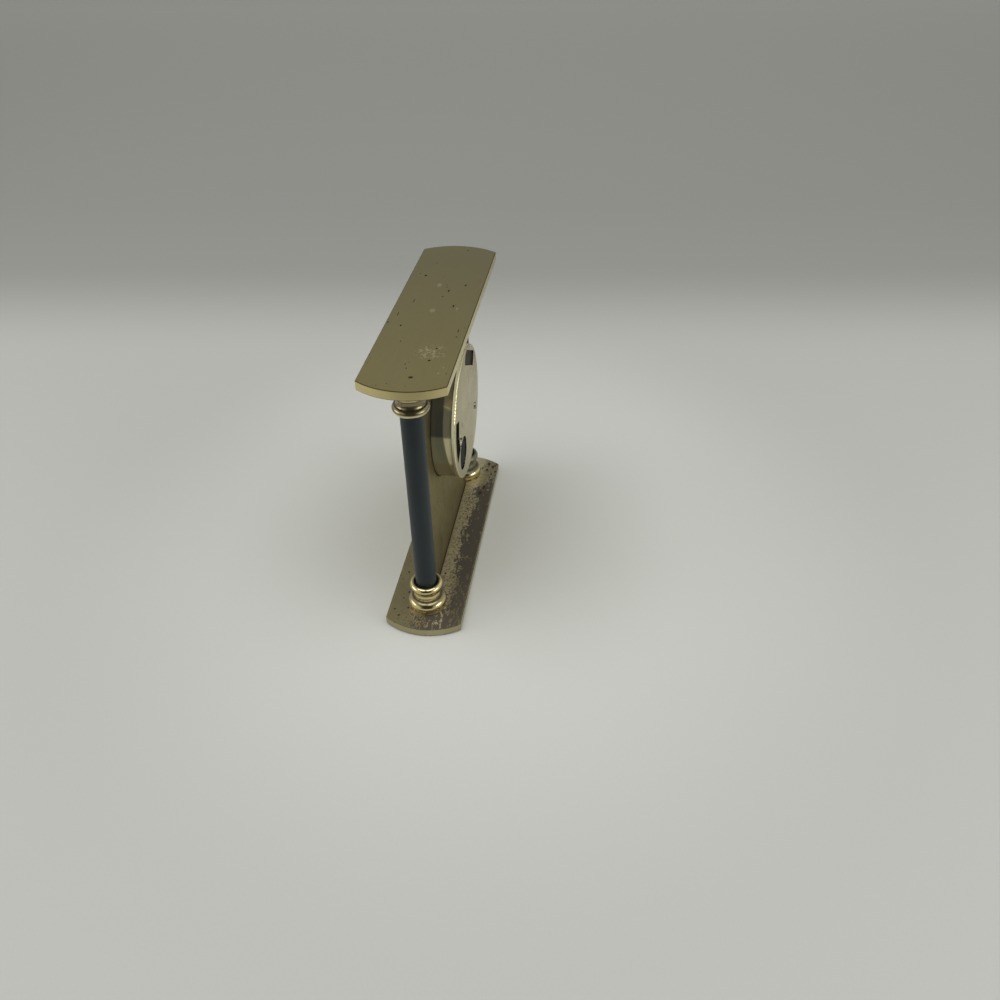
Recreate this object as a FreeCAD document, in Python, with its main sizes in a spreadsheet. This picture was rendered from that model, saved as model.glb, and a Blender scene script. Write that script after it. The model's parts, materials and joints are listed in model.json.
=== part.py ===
import FreeCAD, Part
import math
import os
import re
import Sketcher
from FreeCAD import Placement, Rotation, Vector

# Brass desk clock with a calendar.  Two plates are held apart by two columns.  A panel
# stands between them, with the clock's drum through it and a calendar box below the dial.
#
# Frame, in millimetres: the origin is on the table under the middle of the base, +X runs
# along the plates, +Y points to the rear, where the drum stands out, and +Z is up.
# The front view therefore looks along +Y, and a depth is a place along Y.

SIZES = [
    # plates and columns
    ("plate_length", 140.0, "plates, tip to tip"),
    ("plate_width", 36.0, "plates, front to back"),
    ("plate_thickness", 4.2, "plates"),
    ("plate_end_bulge", 5.9, "rise of the curved ends"),
    ("plate_edge", 0.25, "chamfer round the plates"),
    ("plate_gap", 124.9, "height between the plates"),
    ("felt_inset", 2.5, "edge of the base to the felt"),
    ("felt_recess", 0.4, "pocket that the felt is glued in"),
    ("felt_thickness", 0.8, "felt under the base"),
    ("column_place", 52.4, "column axis from the middle"),
    ("column_diameter", 9.8, "column tube"),
    ("column_bore", 6.0, "inside of the column tube"),
    ("rod_diameter", 4.0, "tie rod in each column"),
    ("rod_in_top", 2.8, "thread of the tie rod in the top plate"),
    ("nut_flats", 7.0, "tie nut across its flats"),
    ("nut_height", 2.2, "tie nut"),
    ("nut_room", 0.5, "counterbore round the nut's corners"),
    ("thread_slack", 0.04, "gap at a thread or a pressed pin"),
    ("bolt_slack", 0.1, "gap round a rod or screw in its hole"),
    ("seat_slack", 0.05, "gap round a part that seats in another"),
    # turned foot and head of a column, by heights above the plate and radii
    ("foot_radius", 8.9, "flange that stands on the plate"),
    ("foot_height", 0.8, "flange"),
    ("groove_radius", 8.4, "groove over the flange"),
    ("groove_height", 1.1, "top of the groove"),
    ("bulb_radius", 9.12, "widest part of the bulb"),
    ("bulb_middle", 2.6, "height of the widest part"),
    ("bulb_top_radius", 6.9, "shoulder of the bulb"),
    ("bulb_top", 6.6, "height of the shoulder"),
    ("step_radius", 6.4, "small step over the bulb"),
    ("step_top", 7.7, "height of the step"),
    ("neck_radius", 5.9, "waist of the neck"),
    ("neck_middle", 9.6, "height of the waist"),
    ("neck_top", 11.4, "height of the neck's end"),
    ("ring_edge_radius", 6.5, "ring where its bead starts"),
    ("ring_radius", 7.74, "widest part of the ring"),
    ("ring_middle", 13.3, "height of the widest part"),
    ("ring_top", 15.0, "height of the ring's top"),
    ("seat_height", 12.5, "height where the tube seats"),
    ("mouth_radius", 5.9, "dished mouth round the tube"),
    # panel
    ("panel_width", 85.0, "panel between the columns"),
    ("panel_thickness", 3.4, "panel"),
    ("panel_groove", 1.0, "groove for the panel in each plate"),
    ("panel_screw_place", 30.0, "screws into the panel's foot"),
    ("panel_screw_diameter", 2.0, "screw shank"),
    ("panel_screw_bite", 6.0, "screw in the panel"),
    ("panel_head_diameter", 4.0, "screw head"),
    ("panel_head_height", 1.4, "screw head"),
    # drum, bezel and dial
    ("drum_height", 76.8, "drum axis above the base plate"),
    ("drum_radius", 31.0, "drum"),
    ("drum_wall", 1.4, "drum"),
    ("drum_floor", 1.5, "front wall of the drum"),
    ("drum_depth", 11.17, "panel to the rear face of the cover"),
    ("neck_tube_radius", 28.3, "threaded neck through the panel"),
    ("neck_tube_wall", 0.9, "neck"),
    ("neck_tube_length", 3.3, "neck in front of the panel"),
    ("neck_slack", 0.2, "gap round the neck in the panel"),
    ("cover_overhang", 0.65, "cover beyond the drum"),
    ("cover_sheet", 0.45, "sheet of the cover"),
    ("cover_skirt", 1.6, "depth of the cover's rim"),
    ("cover_round", 0.55, "rounded edge of the rim"),
    ("slot_inner", 21.3, "inner radius of the slot at the side"),
    ("slot_outer", 28.8, "outer radius of the slot at the side"),
    ("slot_start_angle", -23.0, "degrees, slot at the side"),
    ("slot_end_angle", 21.0, "degrees"),
    ("hatch_x", -10.4, "middle of the hatch in the cover from the drum axis"),
    ("hatch_z", 23.0, "the same"),
    ("hatch_length", 23.0, "hatch"),
    ("hatch_height", 7.0, "hatch"),
    ("hatch_angle", 29.0, "degrees, tilt of the hatch"),
    ("hatch_corner", 2.6, "its cut corner beside the cover's edge"),
    ("cover_screw_x", -21.8, "cover screw from the drum axis"),
    ("cover_screw_z", -10.2, "the same"),
    ("cover_screw_diameter", 1.6, "screw shank"),
    ("cover_head_diameter", 3.4, "screw head"),
    ("cover_head_height", 0.5, "screw head"),
    ("cover_screw_bite", 4.0, "screw in its boss"),
    ("bezel_wall", 4.7, "bezel beyond the neck"),
    ("bezel_cover", 2.1, "bezel inside the neck's outside"),
    ("bezel_depth", 5.5, "bezel"),
    ("bezel_lip", 1.0, "lip over the glass"),
    ("bezel_side", 1.5, "straight side of the bezel"),
    ("glass_thickness", 1.2, "glass"),
    ("dial_thickness", 0.5, "dial plate"),
    ("dial_hole", 2.9, "radius of the hole in the dial"),
    # movement
    ("movement_front", -0.9, "depth of the movement's face"),
    ("movement_wall", 1.2, "walls of its two frames"),
    ("movement_split", 6.6, "depth where the frames meet"),
    ("movement_slack", 0.4, "gap round the movement"),
    ("movement_rear_gap", 0.22, "movement to the cover"),
    ("case_screw_radius", 24.5, "frame screws from the axis"),
    ("case_screw_diameter", 1.4, "frame screw shank"),
    ("case_head_diameter", 2.8, "frame screw head"),
    ("boss_radius", 2.0, "bosses for the screws"),
    ("running_slack", 0.04, "gap in the bearings"),
    ("pivot_radius", 0.3, "pivots of the train"),
    ("hub_radius", 1.5, "bearing bosses"),
    # motion work
    ("motion_module", 0.5, "cannon pinion, minute wheel and setting pinion"),
    ("hour_module", 0.48, "minute pinion and hour wheel"),
    ("cannon_teeth", 12, "on the minute hand's pipe"),
    ("minute_wheel_teeth", 36, "three times the cannon pinion"),
    ("minute_pinion_teeth", 10, "on the minute wheel"),
    ("hour_wheel_teeth", 40, "four times the minute pinion"),
    ("setting_teeth", 12, "on the setting shaft"),
    ("hour_pipe_radius", 2.4, "pipe of the hour hand"),
    ("minute_pipe_radius", 1.8, "pipe of the minute hand"),
    ("seconds_shaft_radius", 0.5, "shaft of the seconds hand"),
    ("pipe_slack", 0.1, "gap between the pipes"),
    ("hour_wheel_depth", 0.5, "front of the hour wheel"),
    ("hour_wheel_thickness", 0.9, "hour wheel"),
    ("minute_wheel_depth", 3.3, "front of the minute wheel"),
    ("minute_wheel_thickness", 0.9, "minute wheel"),
    ("minute_post_radius", 0.8, "post of the minute wheel"),
    ("knob_x", 13.2, "setting knob from the drum axis"),
    ("knob_z", -14.6, "the same"),
    ("knob_hole", 8.0, "radius of the hole in the cover"),
    ("knob_radius", 7.1, "setting knob"),
    ("knob_thickness", 2.1, "setting knob"),
    ("knob_rise", 0.25, "knob above the movement's rear face"),
    ("knob_ribs", 18, "grips round the knob"),
    ("knob_rib_radius", 0.55, "groove between two grips"),
    ("knob_well_slack", 0.5, "gap round the knob in its well"),
    ("setting_shaft_radius", 1.2, "setting shaft"),
    # step motor and seconds train
    ("train_module", 0.25, "seconds wheel and third pinion"),
    ("rotor_module", 0.2, "third wheel and rotor pinion"),
    ("pinion_leaves", 8, "third and rotor pinions"),
    ("seconds_wheel_teeth", 40, "five times the third pinion"),
    ("third_wheel_teeth", 48, "six times the rotor pinion"),
    ("third_angle", 150.0, "degrees, seconds axis to third axis"),
    ("rotor_angle", 127.0, "degrees, third axis to rotor axis"),
    ("plate_depth", 4.8, "front of the train plate"),
    ("train_plate_thickness", 0.8, "train plate"),
    ("train_plate_radius", 13.5, "train plate"),
    ("train_post_circle", 12.0, "posts of the train plate"),
    ("train_post_radius", 1.3, "posts of the train plate"),
    ("seconds_wheel_depth", 7.6, "front of the seconds wheel"),
    ("third_wheel_depth", 8.5, "front of the third wheel"),
    ("train_wheel_thickness", 0.4, "both wheels of the train"),
    ("magnet_radius", 2.6, "rotor magnet"),
    ("magnet_depth", 5.8, "front of the magnet"),
    ("magnet_thickness", 1.6, "rotor magnet"),
    ("stator_gap", 0.4, "air gap round the magnet"),
    ("stator_depth", 6.2, "front of the stator"),
    ("stator_thickness", 0.8, "stator"),
    ("stator_middle", -8.0, "middle of the stator along X"),
    ("stator_span", 22.0, "stator, end to end"),
    ("stator_arm", 4.8, "width of the stator's arms"),
    ("coil_height", 17.2, "coil axis above the drum axis"),
    ("core_width", 3.0, "core strip"),
    ("core_thickness", 0.8, "core strip"),
    ("bobbin_length", 12.0, "coil former"),
    ("bobbin_radius", 3.4, "its end flanges"),
    ("bobbin_flange", 0.8, "its end flanges"),
    ("bobbin_tube", 2.2, "radius of its tube"),
    ("winding_radius", 3.2, "copper winding"),
    ("board_depth", 9.4, "front of the circuit board"),
    ("board_thickness", 0.8, "circuit board"),
    ("board_left", 6.0, "edges of the board from the drum axis"),
    ("board_right", 24.0, "the same"),
    ("board_low", 5.0, "the same"),
    ("board_top", 24.0, "the same"),
    ("board_step", 12.5, "top of its wide half"),
    ("board_waist", 12.5, "right edge of its narrow half"),
    ("board_slope", 2.0, "slant of its outer ends"),
    ("crystal_radius", 1.0, "crystal can"),
    ("crystal_length", 6.0, "crystal can"),
    ("chip_side", 4.0, "chip"),
    ("chip_thickness", 0.9, "chip"),
    ("battery_x", -12.0, "battery from the drum axis"),
    ("battery_z", -13.0, "the same"),
    ("battery_radius", 5.8, "button cell"),
    ("battery_thickness", 5.2, "button cell"),
    ("battery_slack", 0.15, "gap round the cell"),
    ("cup_wall", 1.0, "battery cup"),
    ("contact_thickness", 0.25, "contact strips"),
    # hands
    ("shown_angle", 304.3, "degrees, hour hand at rest, clockwise from twelve"),
    ("hand_thickness", 0.3, "hands"),
    ("hour_hand_length", 15.5, "hour hand"),
    ("minute_hand_length", 22.5, "minute hand"),
    ("seconds_hand_length", 23.5, "seconds hand"),
    ("hour_hand_width", 2.2, "hour hand"),
    ("minute_hand_width", 1.8, "minute hand"),
    ("seconds_hand_width", 0.7, "seconds hand"),
    ("hand_step", 0.9, "depth from one hand to the next"),
    ("hand_over_dial", 0.8, "dial to the back of the hour hand"),
    # calendar
    ("calendar_width", 80.0, "calendar box"),
    ("calendar_height", 36.5, "calendar box"),
    ("calendar_depth", 3.4, "calendar box"),
    ("calendar_gap", 2.3, "calendar box below the bezel"),
    ("calendar_corner", 3.0, "rounded corners"),
    ("calendar_back", 0.8, "back wall of the box"),
    ("calendar_face", 0.8, "face plate of the box"),
    ("wheel_thickness", 1.2, "calendar wheels"),
    ("wheel_slack", 0.3, "gap round a calendar wheel"),
    ("wheel_hub", 3.0, "radius of a wheel's hub"),
    ("hub_slack", 0.05, "gap at each end of a hub"),
    ("pin_radius", 1.2, "pins of the wheels"),
    ("rivet_radius", 1.0, "pins in the back wall"),
    ("date_radius", 18.0, "date wheel"),
    ("date_height", 16.5, "date axis above the box's foot"),
    ("small_radius", 11.5, "day and month wheels"),
    ("small_place", 30.0, "day and month axes from the middle"),
    ("small_drop", 13.5, "their axes below the box's top"),
    ("notch_radius", 0.55, "finger notches round a wheel"),
    ("finger_radius", 8.0, "finger cut under the date wheel"),
    ("window_drop", 5.0, "middle of the windows below the box's top"),
    ("window_height", 4.4, "windows"),
    ("date_window", 3.4, "width of the date window"),
    ("day_window", 7.0, "width of the day window"),
    ("month_window", 4.6, "width of the month window"),
    ("calendar_screw_inset", 2.7, "calendar screws from the box's edges"),
    ("calendar_screw_diameter", 1.4, "screw shank"),
    ("calendar_head_diameter", 2.8, "screw head"),
    ("calendar_head_height", 0.8, "screw head"),
    ("calendar_screw_bite", 1.8, "screw in the panel"),
]

doc = FreeCAD.newDocument("DeskClock")
sheet = doc.addObject("Spreadsheet::Sheet", "Sizes")
for row, (alias, number, meaning) in enumerate(SIZES, 1):
    sheet.set("A%d" % row, meaning)
    sheet.set("B%d" % row, str(number))
    sheet.setAlias("B%d" % row, alias)
doc.recompute()
ALIASES = {row[0] for row in SIZES}
parts = []


# Working with the sheet.
# Places that several pieces share, as formulas of the sheet's values.
SHARED = {
    "base_foot": "(felt_thickness - felt_recess)",
    "deck": "(base_foot + plate_thickness)",
    "ceiling": "(deck + plate_gap)",
    "drum_axis": "(deck + drum_height)",
    "panel_front": "(0 - panel_thickness / 2)",
    "panel_rear": "(panel_thickness / 2)",
    "cover_rear": "(panel_rear + drum_depth)",
    "cover_inner": "(cover_rear - cover_sheet)",
    "drum_inside": "(drum_radius - drum_wall)",
    "drum_ledge": "(panel_rear + drum_floor)",
    "neck_inside": "(neck_tube_radius - neck_tube_wall)",
    "neck_front": "(panel_front - neck_tube_length)",
    "glass_front": "(neck_front - glass_thickness)",
    "bezel_front": "(panel_front - bezel_depth)",
    "bezel_radius": "(neck_tube_radius + bezel_wall)",
    "bezel_opening": "(neck_tube_radius - bezel_cover)",
    "dial_front": "(movement_front - dial_thickness)",
    "movement_rear": "(cover_inner - movement_rear_gap)",
    "movement_inner_front": "(movement_front + movement_wall)",
    "movement_inner_rear": "(movement_rear - movement_wall)",
    "movement_radius": "(drum_inside - movement_slack)",
    "movement_face_radius": "(neck_inside - movement_slack)",
    "hour_hand_depth": "(dial_front - hand_over_dial - hand_thickness)",
    "minute_hand_depth": "(hour_hand_depth - hand_step)",
    "seconds_hand_depth": "(minute_hand_depth - hand_step)",
    "calendar_front": "(panel_front - calendar_depth)",
    "calendar_floor": "(panel_front - calendar_back)",
    "calendar_lid": "(calendar_front + calendar_face)",
    "calendar_top": "(drum_axis - bezel_radius - calendar_gap)",
    "calendar_foot": "(calendar_top - calendar_height)",
    "wheel_front": "((calendar_floor + calendar_lid - wheel_thickness) / 2)",
}


def expand(text):
    # Writes out the shared formulas, then names the sheet before each of its aliases.
    text = str(text)
    while re.search(r"\b(%s)\b" % "|".join(SHARED), text):
        text = re.sub(r"\b[a-z_]+\b", lambda word: SHARED.get(word.group(), word.group()), text)
    return re.sub(r"\b[a-z_]+\b", lambda word: "Sizes." * (word.group() in ALIASES) + word.group(), text)


def size(text):
    result = sheet.evalExpression(expand(text))
    return float(getattr(result, "Value", result))


def bind(thing, prop, text):
    thing.setExpression(prop, expand(text))


def place(thing, x="0", y="0", z="0", rotation=None):
    thing.Placement = Placement(Vector(size(x), size(y), size(z)), rotation or Rotation())
    for letter, text in zip("xyz", (x, y, z)):
        if text != "0":
            bind(thing, "Placement.Base." + letter, text)


def keep(thing):
    parts.append(thing)
    return thing


# Sketches and features.
def new_body(label):
    body = doc.addObject("PartDesign::Body", label)
    body.Label = label
    return keep(body)


def sketch_on(body, role, level="0"):
    # A level on the XZ plane is a depth along +Y, though that plane's normal points to -Y.
    plane = [item for item in body.Origin.OriginFeatures if item.Role == role][0]
    sketch = body.newObject("Sketcher::SketchObject", body.Name + "_sketch")
    sketch.AttachmentSupport = [(plane, "")]
    sketch.MapMode = "FlatFace"
    if level != "0":
        bind(sketch, "AttachmentOffset.Base.z", "-(%s)" % level if role == "XZ_Plane" else level)
    return sketch


def fix_point(sketch, geometry, vertex, x, y):
    for kind, text in (("DistanceX", x), ("DistanceY", y)):
        index = sketch.addConstraint(Sketcher.Constraint(kind, -1, 1, geometry, vertex, size(text)))
        bind(sketch, "Constraints[%d]" % index, text)


def draw_outline(sketch, corners):
    # A closed outline.  A corner with a third item is not a corner but a point that the arc
    # between its two neighbours passes through.
    spots = [Vector(size(corner[0]), size(corner[1]), 0) for corner in corners]
    ends = [i for i, corner in enumerate(corners) if len(corner) == 2]
    edges = []
    for here, there in zip(ends, ends[1:] + ends[:1]):
        middle = (here + 1) % len(corners)
        if middle == there:
            edge = sketch.addGeometry(Part.LineSegment(spots[here], spots[there]), False)
            edges.append((edge, 1, 2, here, None))
            continue
        edge = sketch.addGeometry(Part.Arc(spots[here], spots[middle], spots[there]), False)
        forward = sketch.getPoint(edge, 1).distanceToPoint(spots[here]) < 1e-6
        edges.append((edge, 1 if forward else 2, 2 if forward else 1, here, middle))
    for edge, following in zip(edges, edges[1:] + edges[:1]):
        sketch.addConstraint(Sketcher.Constraint("Coincident", edge[0], edge[2], following[0], following[1]))
        fix_point(sketch, edge[0], edge[1], *corners[edge[3]])
        if edge[4] is not None:
            point = sketch.addGeometry(Part.Point(spots[edge[4]]), True)
            fix_point(sketch, point, 1, *corners[edge[4]][:2])
            sketch.addConstraint(Sketcher.Constraint("PointOnObject", point, 1, edge[0]))


def draw_circle(sketch, x, y, radius):
    circle = Part.Circle(Vector(size(x), size(y), 0), Vector(0, 0, 1), size(radius))
    geometry = sketch.addGeometry(circle, False)
    fix_point(sketch, geometry, 3, x, y)
    index = sketch.addConstraint(Sketcher.Constraint("Radius", geometry, size(radius)))
    bind(sketch, "Constraints[%d]" % index, radius)


def draw_box(sketch, left, bottom, right, top):
    draw_outline(sketch, [(left, bottom), (right, bottom), (right, top), (left, top)])


def feature(body, kind, sketch, length, reverse=False):
    made = body.newObject("PartDesign::" + kind, "%s_%s" % (body.Name, kind.lower()))
    made.Profile = sketch
    made.Reversed = reverse
    bind(made, "Length", length)
    before = 0 if body.Shape.isNull() else body.Shape.Volume
    doc.recompute()
    change = body.Shape.Volume - before
    if change * (1 if kind == "Pad" else -1) <= 0:
        raise ValueError("%s of %s did nothing" % (kind, body.Label))
    return made


def pad_forward(body, sketch, length):
    # From the sketch's depth towards the front, that is towards -Y.
    return feature(body, "Pad", sketch, length)


def pad_back(body, sketch, length):
    return feature(body, "Pad", sketch, length, True)


def pocket_back(body, sketch, length):
    # A pocket cuts against its sketch's normal, so on the XZ plane it runs to the rear.
    return feature(body, "Pocket", sketch, length)


def pocket_forward(body, sketch, length):
    return feature(body, "Pocket", sketch, length, True)


def pad_circles(body, depth, length, circles):
    # Round bosses that stand on a depth and run to the rear.
    sketch = sketch_on(body, "XZ_Plane", depth)
    for circle in circles:
        draw_circle(sketch, *circle)
    return pad_back(body, sketch, length)


def cut_circles(body, depth, length, circles):
    # Round holes from a depth towards the front.
    sketch = sketch_on(body, "XZ_Plane", depth)
    for circle in circles:
        draw_circle(sketch, *circle)
    return pocket_forward(body, sketch, length)


def pattern(body, item, axis_role, count):
    # Repeats one cut or boss evenly round an origin axis.
    axis = [line for line in body.Origin.OriginFeatures if line.Role == axis_role][0]
    made = body.newObject("PartDesign::PolarPattern", body.Name + "_pattern")
    made.Originals = [item]
    made.Axis = (axis, [""])
    made.Angle = 360
    bind(made, "Occurrences", count)
    body.Tip = made
    doc.recompute()
    return made


def turned(label, profile, upright=False):
    # Turns a profile of (radius, place along the axis) about Y, or about Z when upright.
    body = new_body(label)
    sketch = sketch_on(body, "XZ_Plane" if upright else "XY_Plane")
    draw_outline(sketch, profile)
    made = body.newObject("PartDesign::Revolution", label + "_turned")
    made.Profile = sketch
    made.ReferenceAxis = (sketch, ["V_Axis"])
    made.Angle = 360
    doc.recompute()
    return body


def disc(label, hole, radius, front, rear):
    return turned(label, [(hole, front), (radius, front), (radius, rear), (hole, rear)])


def drum_place(body, x="0", z="0"):
    place(body, x, "0", "drum_axis + (%s)" % z)
    return body


# Primitives.
def cylinder(name, radius, height, x, y, z, along="Z"):
    made = doc.addObject("Part::Cylinder", name)
    bind(made, "Radius", radius)
    bind(made, "Height", height)
    turn = {"Z": Rotation(), "Y": Rotation(Vector(1, 0, 0), -90), "X": Rotation(Vector(0, 1, 0), 90)}
    place(made, x, y, z, turn[along])
    return made


def box(name, length, width, height, x, y, z):
    made = doc.addObject("Part::Box", name)
    bind(made, "Length", length)
    bind(made, "Width", width)
    bind(made, "Height", height)
    place(made, x, y, z)
    return made


def fused(name, shapes):
    made = doc.addObject("Part::MultiFuse", name)
    made.Shapes = shapes
    return made


def cut(name, base, tool):
    made = doc.addObject("Part::Cut", name)
    made.Base = base
    made.Tool = tool
    return made


def group(label, solids):
    made = doc.addObject("Part::Compound", label)
    made.Label = label
    made.Links = solids
    return keep(made)


def screws_up(label, spots, shank, head, head_height, bottom, length):
    # Screws that point up, with their heads at the bottom.
    solids = []
    for number, x in enumerate(spots):
        name = "%s_%d" % (label, number)
        top = cylinder(name + "_head", head, head_height, x, "0", bottom)
        stem = cylinder(name + "_shank", shank, length, x, "0", bottom)
        solids.append(fused(name, [top, stem]))
    return group(label, solids)


def screws_back(label, spots, shank, head, head_height, front, length):
    # Screws that point to the rear, with their heads in front.
    solids = []
    for number, (x, z) in enumerate(spots):
        name = "%s_%d" % (label, number)
        top = cylinder(name + "_head", head, head_height, x, "%s - %s" % (front, head_height), z, "Y")
        stem = cylinder(name + "_shank", shank, length, x, front, z, "Y")
        solids.append(fused(name, [top, stem]))
    return group(label, solids)


def screws_front(label, spots, shank, head, head_height, rear, length):
    # Screws that point to the front, with their heads at the rear.
    solids = []
    for number, (x, z) in enumerate(spots):
        name = "%s_%d" % (label, number)
        top = cylinder(name + "_head", head, head_height, x, rear, z, "Y")
        stem = cylinder(name + "_shank", shank, length, x, "%s - (%s)" % (rear, length), z, "Y")
        solids.append(fused(name, [top, stem]))
    return group(label, solids)


# Plates.
def plate(label, level):
    body = new_body(label)
    sketch = sketch_on(body, "XY_Plane")
    side = "plate_length / 2 - plate_end_bulge"
    draw_outline(sketch, [
        ("-(%s)" % side, "-plate_width / 2"), (side, "-plate_width / 2"),
        ("plate_length / 2", "0", "arc"),
        (side, "plate_width / 2"), ("-(%s)" % side, "plate_width / 2"),
        ("-plate_length / 2", "0", "arc")])
    slab = feature(body, "Pad", sketch, "plate_thickness")
    rims = ["Edge%d" % i for i, edge in enumerate(slab.Shape.Edges, 1) if edge.BoundBox.ZLength < 1e-6]
    chamfer = body.newObject("PartDesign::Chamfer", label + "_edge")
    chamfer.Base = (slab, rims)
    bind(chamfer, "Size", "plate_edge")
    doc.recompute()
    place(body, "0", "0", level)
    return body


def panel_groove(body, level, upward):
    # The panel's edge stands in a groove across the plate.
    sketch = sketch_on(body, "XY_Plane", level)
    half = "(panel_width / 2 + seat_slack)"
    deep = "(panel_thickness / 2 + seat_slack)"
    draw_box(sketch, "-" + half, "-" + deep, half, deep)
    feature(body, "Pocket", sketch, "panel_groove", upward)


def level_holes(body, level, spots, radius, depth, upward):
    sketch = sketch_on(body, "XY_Plane", level)
    for x in spots:
        draw_circle(sketch, x, "0", radius)
    feature(body, "Pocket", sketch, depth, upward)


both_columns = ("column_place", "-column_place")
both_screws = ("panel_screw_place", "-panel_screw_place")
nut_pocket = "nut_flats / 2 / cos(30) + nut_room"
head_pocket = "panel_head_diameter / 2 + bolt_slack"

base = plate("base_plate", "base_foot")
felt_outline = sketch_on(base, "XY_Plane")
felt_side = "(plate_length / 2 - plate_end_bulge - felt_inset)"
felt_half = "(plate_width / 2 - felt_inset)"
felt_tip = "(plate_length / 2 - felt_inset)"
felt_corners = [
    ("-" + felt_side, "-" + felt_half), (felt_side, "-" + felt_half), (felt_tip, "0", "arc"),
    (felt_side, felt_half), ("-" + felt_side, felt_half), ("-" + felt_tip, "0", "arc")]
draw_outline(felt_outline, felt_corners)
feature(base, "Pocket", felt_outline, "felt_recess", True)
level_holes(base, "felt_recess", both_columns, nut_pocket, "nut_height", True)
level_holes(base, "0", both_columns, "rod_diameter / 2 + bolt_slack", "plate_thickness", True)
level_holes(base, "felt_recess", both_screws, head_pocket, "panel_head_height", True)
level_holes(base, "0", both_screws, "panel_screw_diameter / 2 + bolt_slack", "plate_thickness", True)
panel_groove(base, "plate_thickness", False)

top = plate("top_plate", "ceiling")
level_holes(top, "0", both_columns, "rod_diameter / 2 + thread_slack", "rod_in_top", True)
panel_groove(top, "0", True)

felt = new_body("base_felt")
felt_sketch = sketch_on(felt, "XY_Plane")
draw_outline(felt_sketch, [(corner[0] + " + seat_slack" * corner[0].startswith("-")
                            + " - seat_slack" * (not corner[0].startswith("-")),) + tuple(corner[1:])
                           for corner in felt_corners])
feature(felt, "Pad", felt_sketch, "felt_thickness")


# Columns.
def ferrule(label, x, level, inverted):
    # Turned foot of a column: flange, bulb, waisted neck and beaded ring with a dished mouth.
    bore = "rod_diameter / 2 + bolt_slack"
    body = turned(label, [
        (bore, "0"), ("foot_radius", "0"), ("foot_radius", "foot_height"),
        ("groove_radius", "foot_height"), ("groove_radius", "groove_height"),
        ("bulb_radius", "bulb_middle", "arc"),
        ("bulb_top_radius", "bulb_top"), ("step_radius", "bulb_top"), ("step_radius", "step_top"),
        ("neck_radius", "neck_middle", "arc"),
        ("step_radius", "neck_top"), ("ring_edge_radius", "neck_top"),
        ("ring_radius", "ring_middle", "arc"),
        ("ring_edge_radius", "ring_top"), ("mouth_radius", "ring_top"),
        ("column_diameter / 2 + seat_slack", "seat_height + (ring_top - seat_height) / 3"),
        ("column_diameter / 2 + seat_slack", "seat_height"), (bore, "seat_height")], upright=True)
    place(body, x, "0", level, Rotation(Vector(1, 0, 0), 180 if inverted else 0))
    return body


def column(label, x):
    body = new_body(label)
    sketch = sketch_on(body, "XY_Plane")
    draw_circle(sketch, "0", "0", "column_diameter / 2")
    draw_circle(sketch, "0", "0", "column_bore / 2")
    feature(body, "Pad", sketch, "plate_gap - 2 * seat_height")
    place(body, x, "0", "deck + seat_height")
    return body


def tie_rod(label, x):
    body = new_body(label)
    sketch = sketch_on(body, "XY_Plane")
    draw_circle(sketch, "0", "0", "rod_diameter / 2")
    feature(body, "Pad", sketch, "plate_thickness - felt_recess + plate_gap + rod_in_top")
    place(body, x, "0", "felt_thickness")
    return body


for side, across in (("left", "-column_place"), ("right", "column_place")):
    ferrule("column_base_" + side, across, "deck", False)
    column("column_" + side, across)
    ferrule("column_cap_" + side, across, "ceiling", True)
    tie_rod("tie_rod_" + side, across)

nuts = []
for number, across in enumerate(both_columns):
    prism = doc.addObject("Part::Prism", "tie_nut_%d" % number)
    prism.Polygon = 6
    bind(prism, "Circumradius", "nut_flats / 2 / cos(30)")
    bind(prism, "Height", "nut_height")
    place(prism, across, "0", "felt_thickness")
    thread = cylinder("tie_nut_thread_%d" % number, "rod_diameter / 2 + thread_slack", "nut_height",
                      across, "0", "felt_thickness")
    nuts.append(cut("tie_nut_bored_%d" % number, prism, thread))
group("tie_nuts", nuts)

screws_up("panel_screws", both_screws, "panel_screw_diameter / 2", "panel_head_diameter / 2",
          "panel_head_height", "felt_thickness",
          "plate_thickness - felt_recess - panel_groove + panel_screw_bite")


# Panel.
panel = new_body("mount_panel")
panel_sketch = sketch_on(panel, "XZ_Plane", "panel_rear")
draw_box(panel_sketch, "-panel_width / 2", "deck - panel_groove", "panel_width / 2", "ceiling + panel_groove")
draw_circle(panel_sketch, "0", "drum_axis", "neck_tube_radius + neck_slack")
pad_forward(panel, panel_sketch, "panel_thickness")

calendar_spots = [(x, z) for x in ("calendar_width / 2 - calendar_screw_inset",
                                   "-calendar_width / 2 + calendar_screw_inset")
                  for z in ("calendar_foot + calendar_screw_inset", "calendar_top - calendar_screw_inset")]
threads = sketch_on(panel, "XZ_Plane", "panel_front")
for x, z in calendar_spots:
    draw_circle(threads, x, z, "calendar_screw_diameter / 2 + thread_slack")
pocket_back(panel, threads, "calendar_screw_bite")
level_holes(panel, "deck - panel_groove", both_screws, "panel_screw_diameter / 2 + thread_slack",
            "panel_screw_bite", True)


# Drum, cover and bezel.
drum_place(turned("drum_case", [
    ("neck_inside", "neck_front"), ("neck_tube_radius", "neck_front"), ("neck_tube_radius", "panel_rear"),
    ("drum_radius", "panel_rear"), ("drum_radius", "cover_inner"), ("drum_inside", "cover_inner"),
    ("drum_inside", "drum_ledge"), ("neck_inside", "drum_ledge")]))

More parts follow.
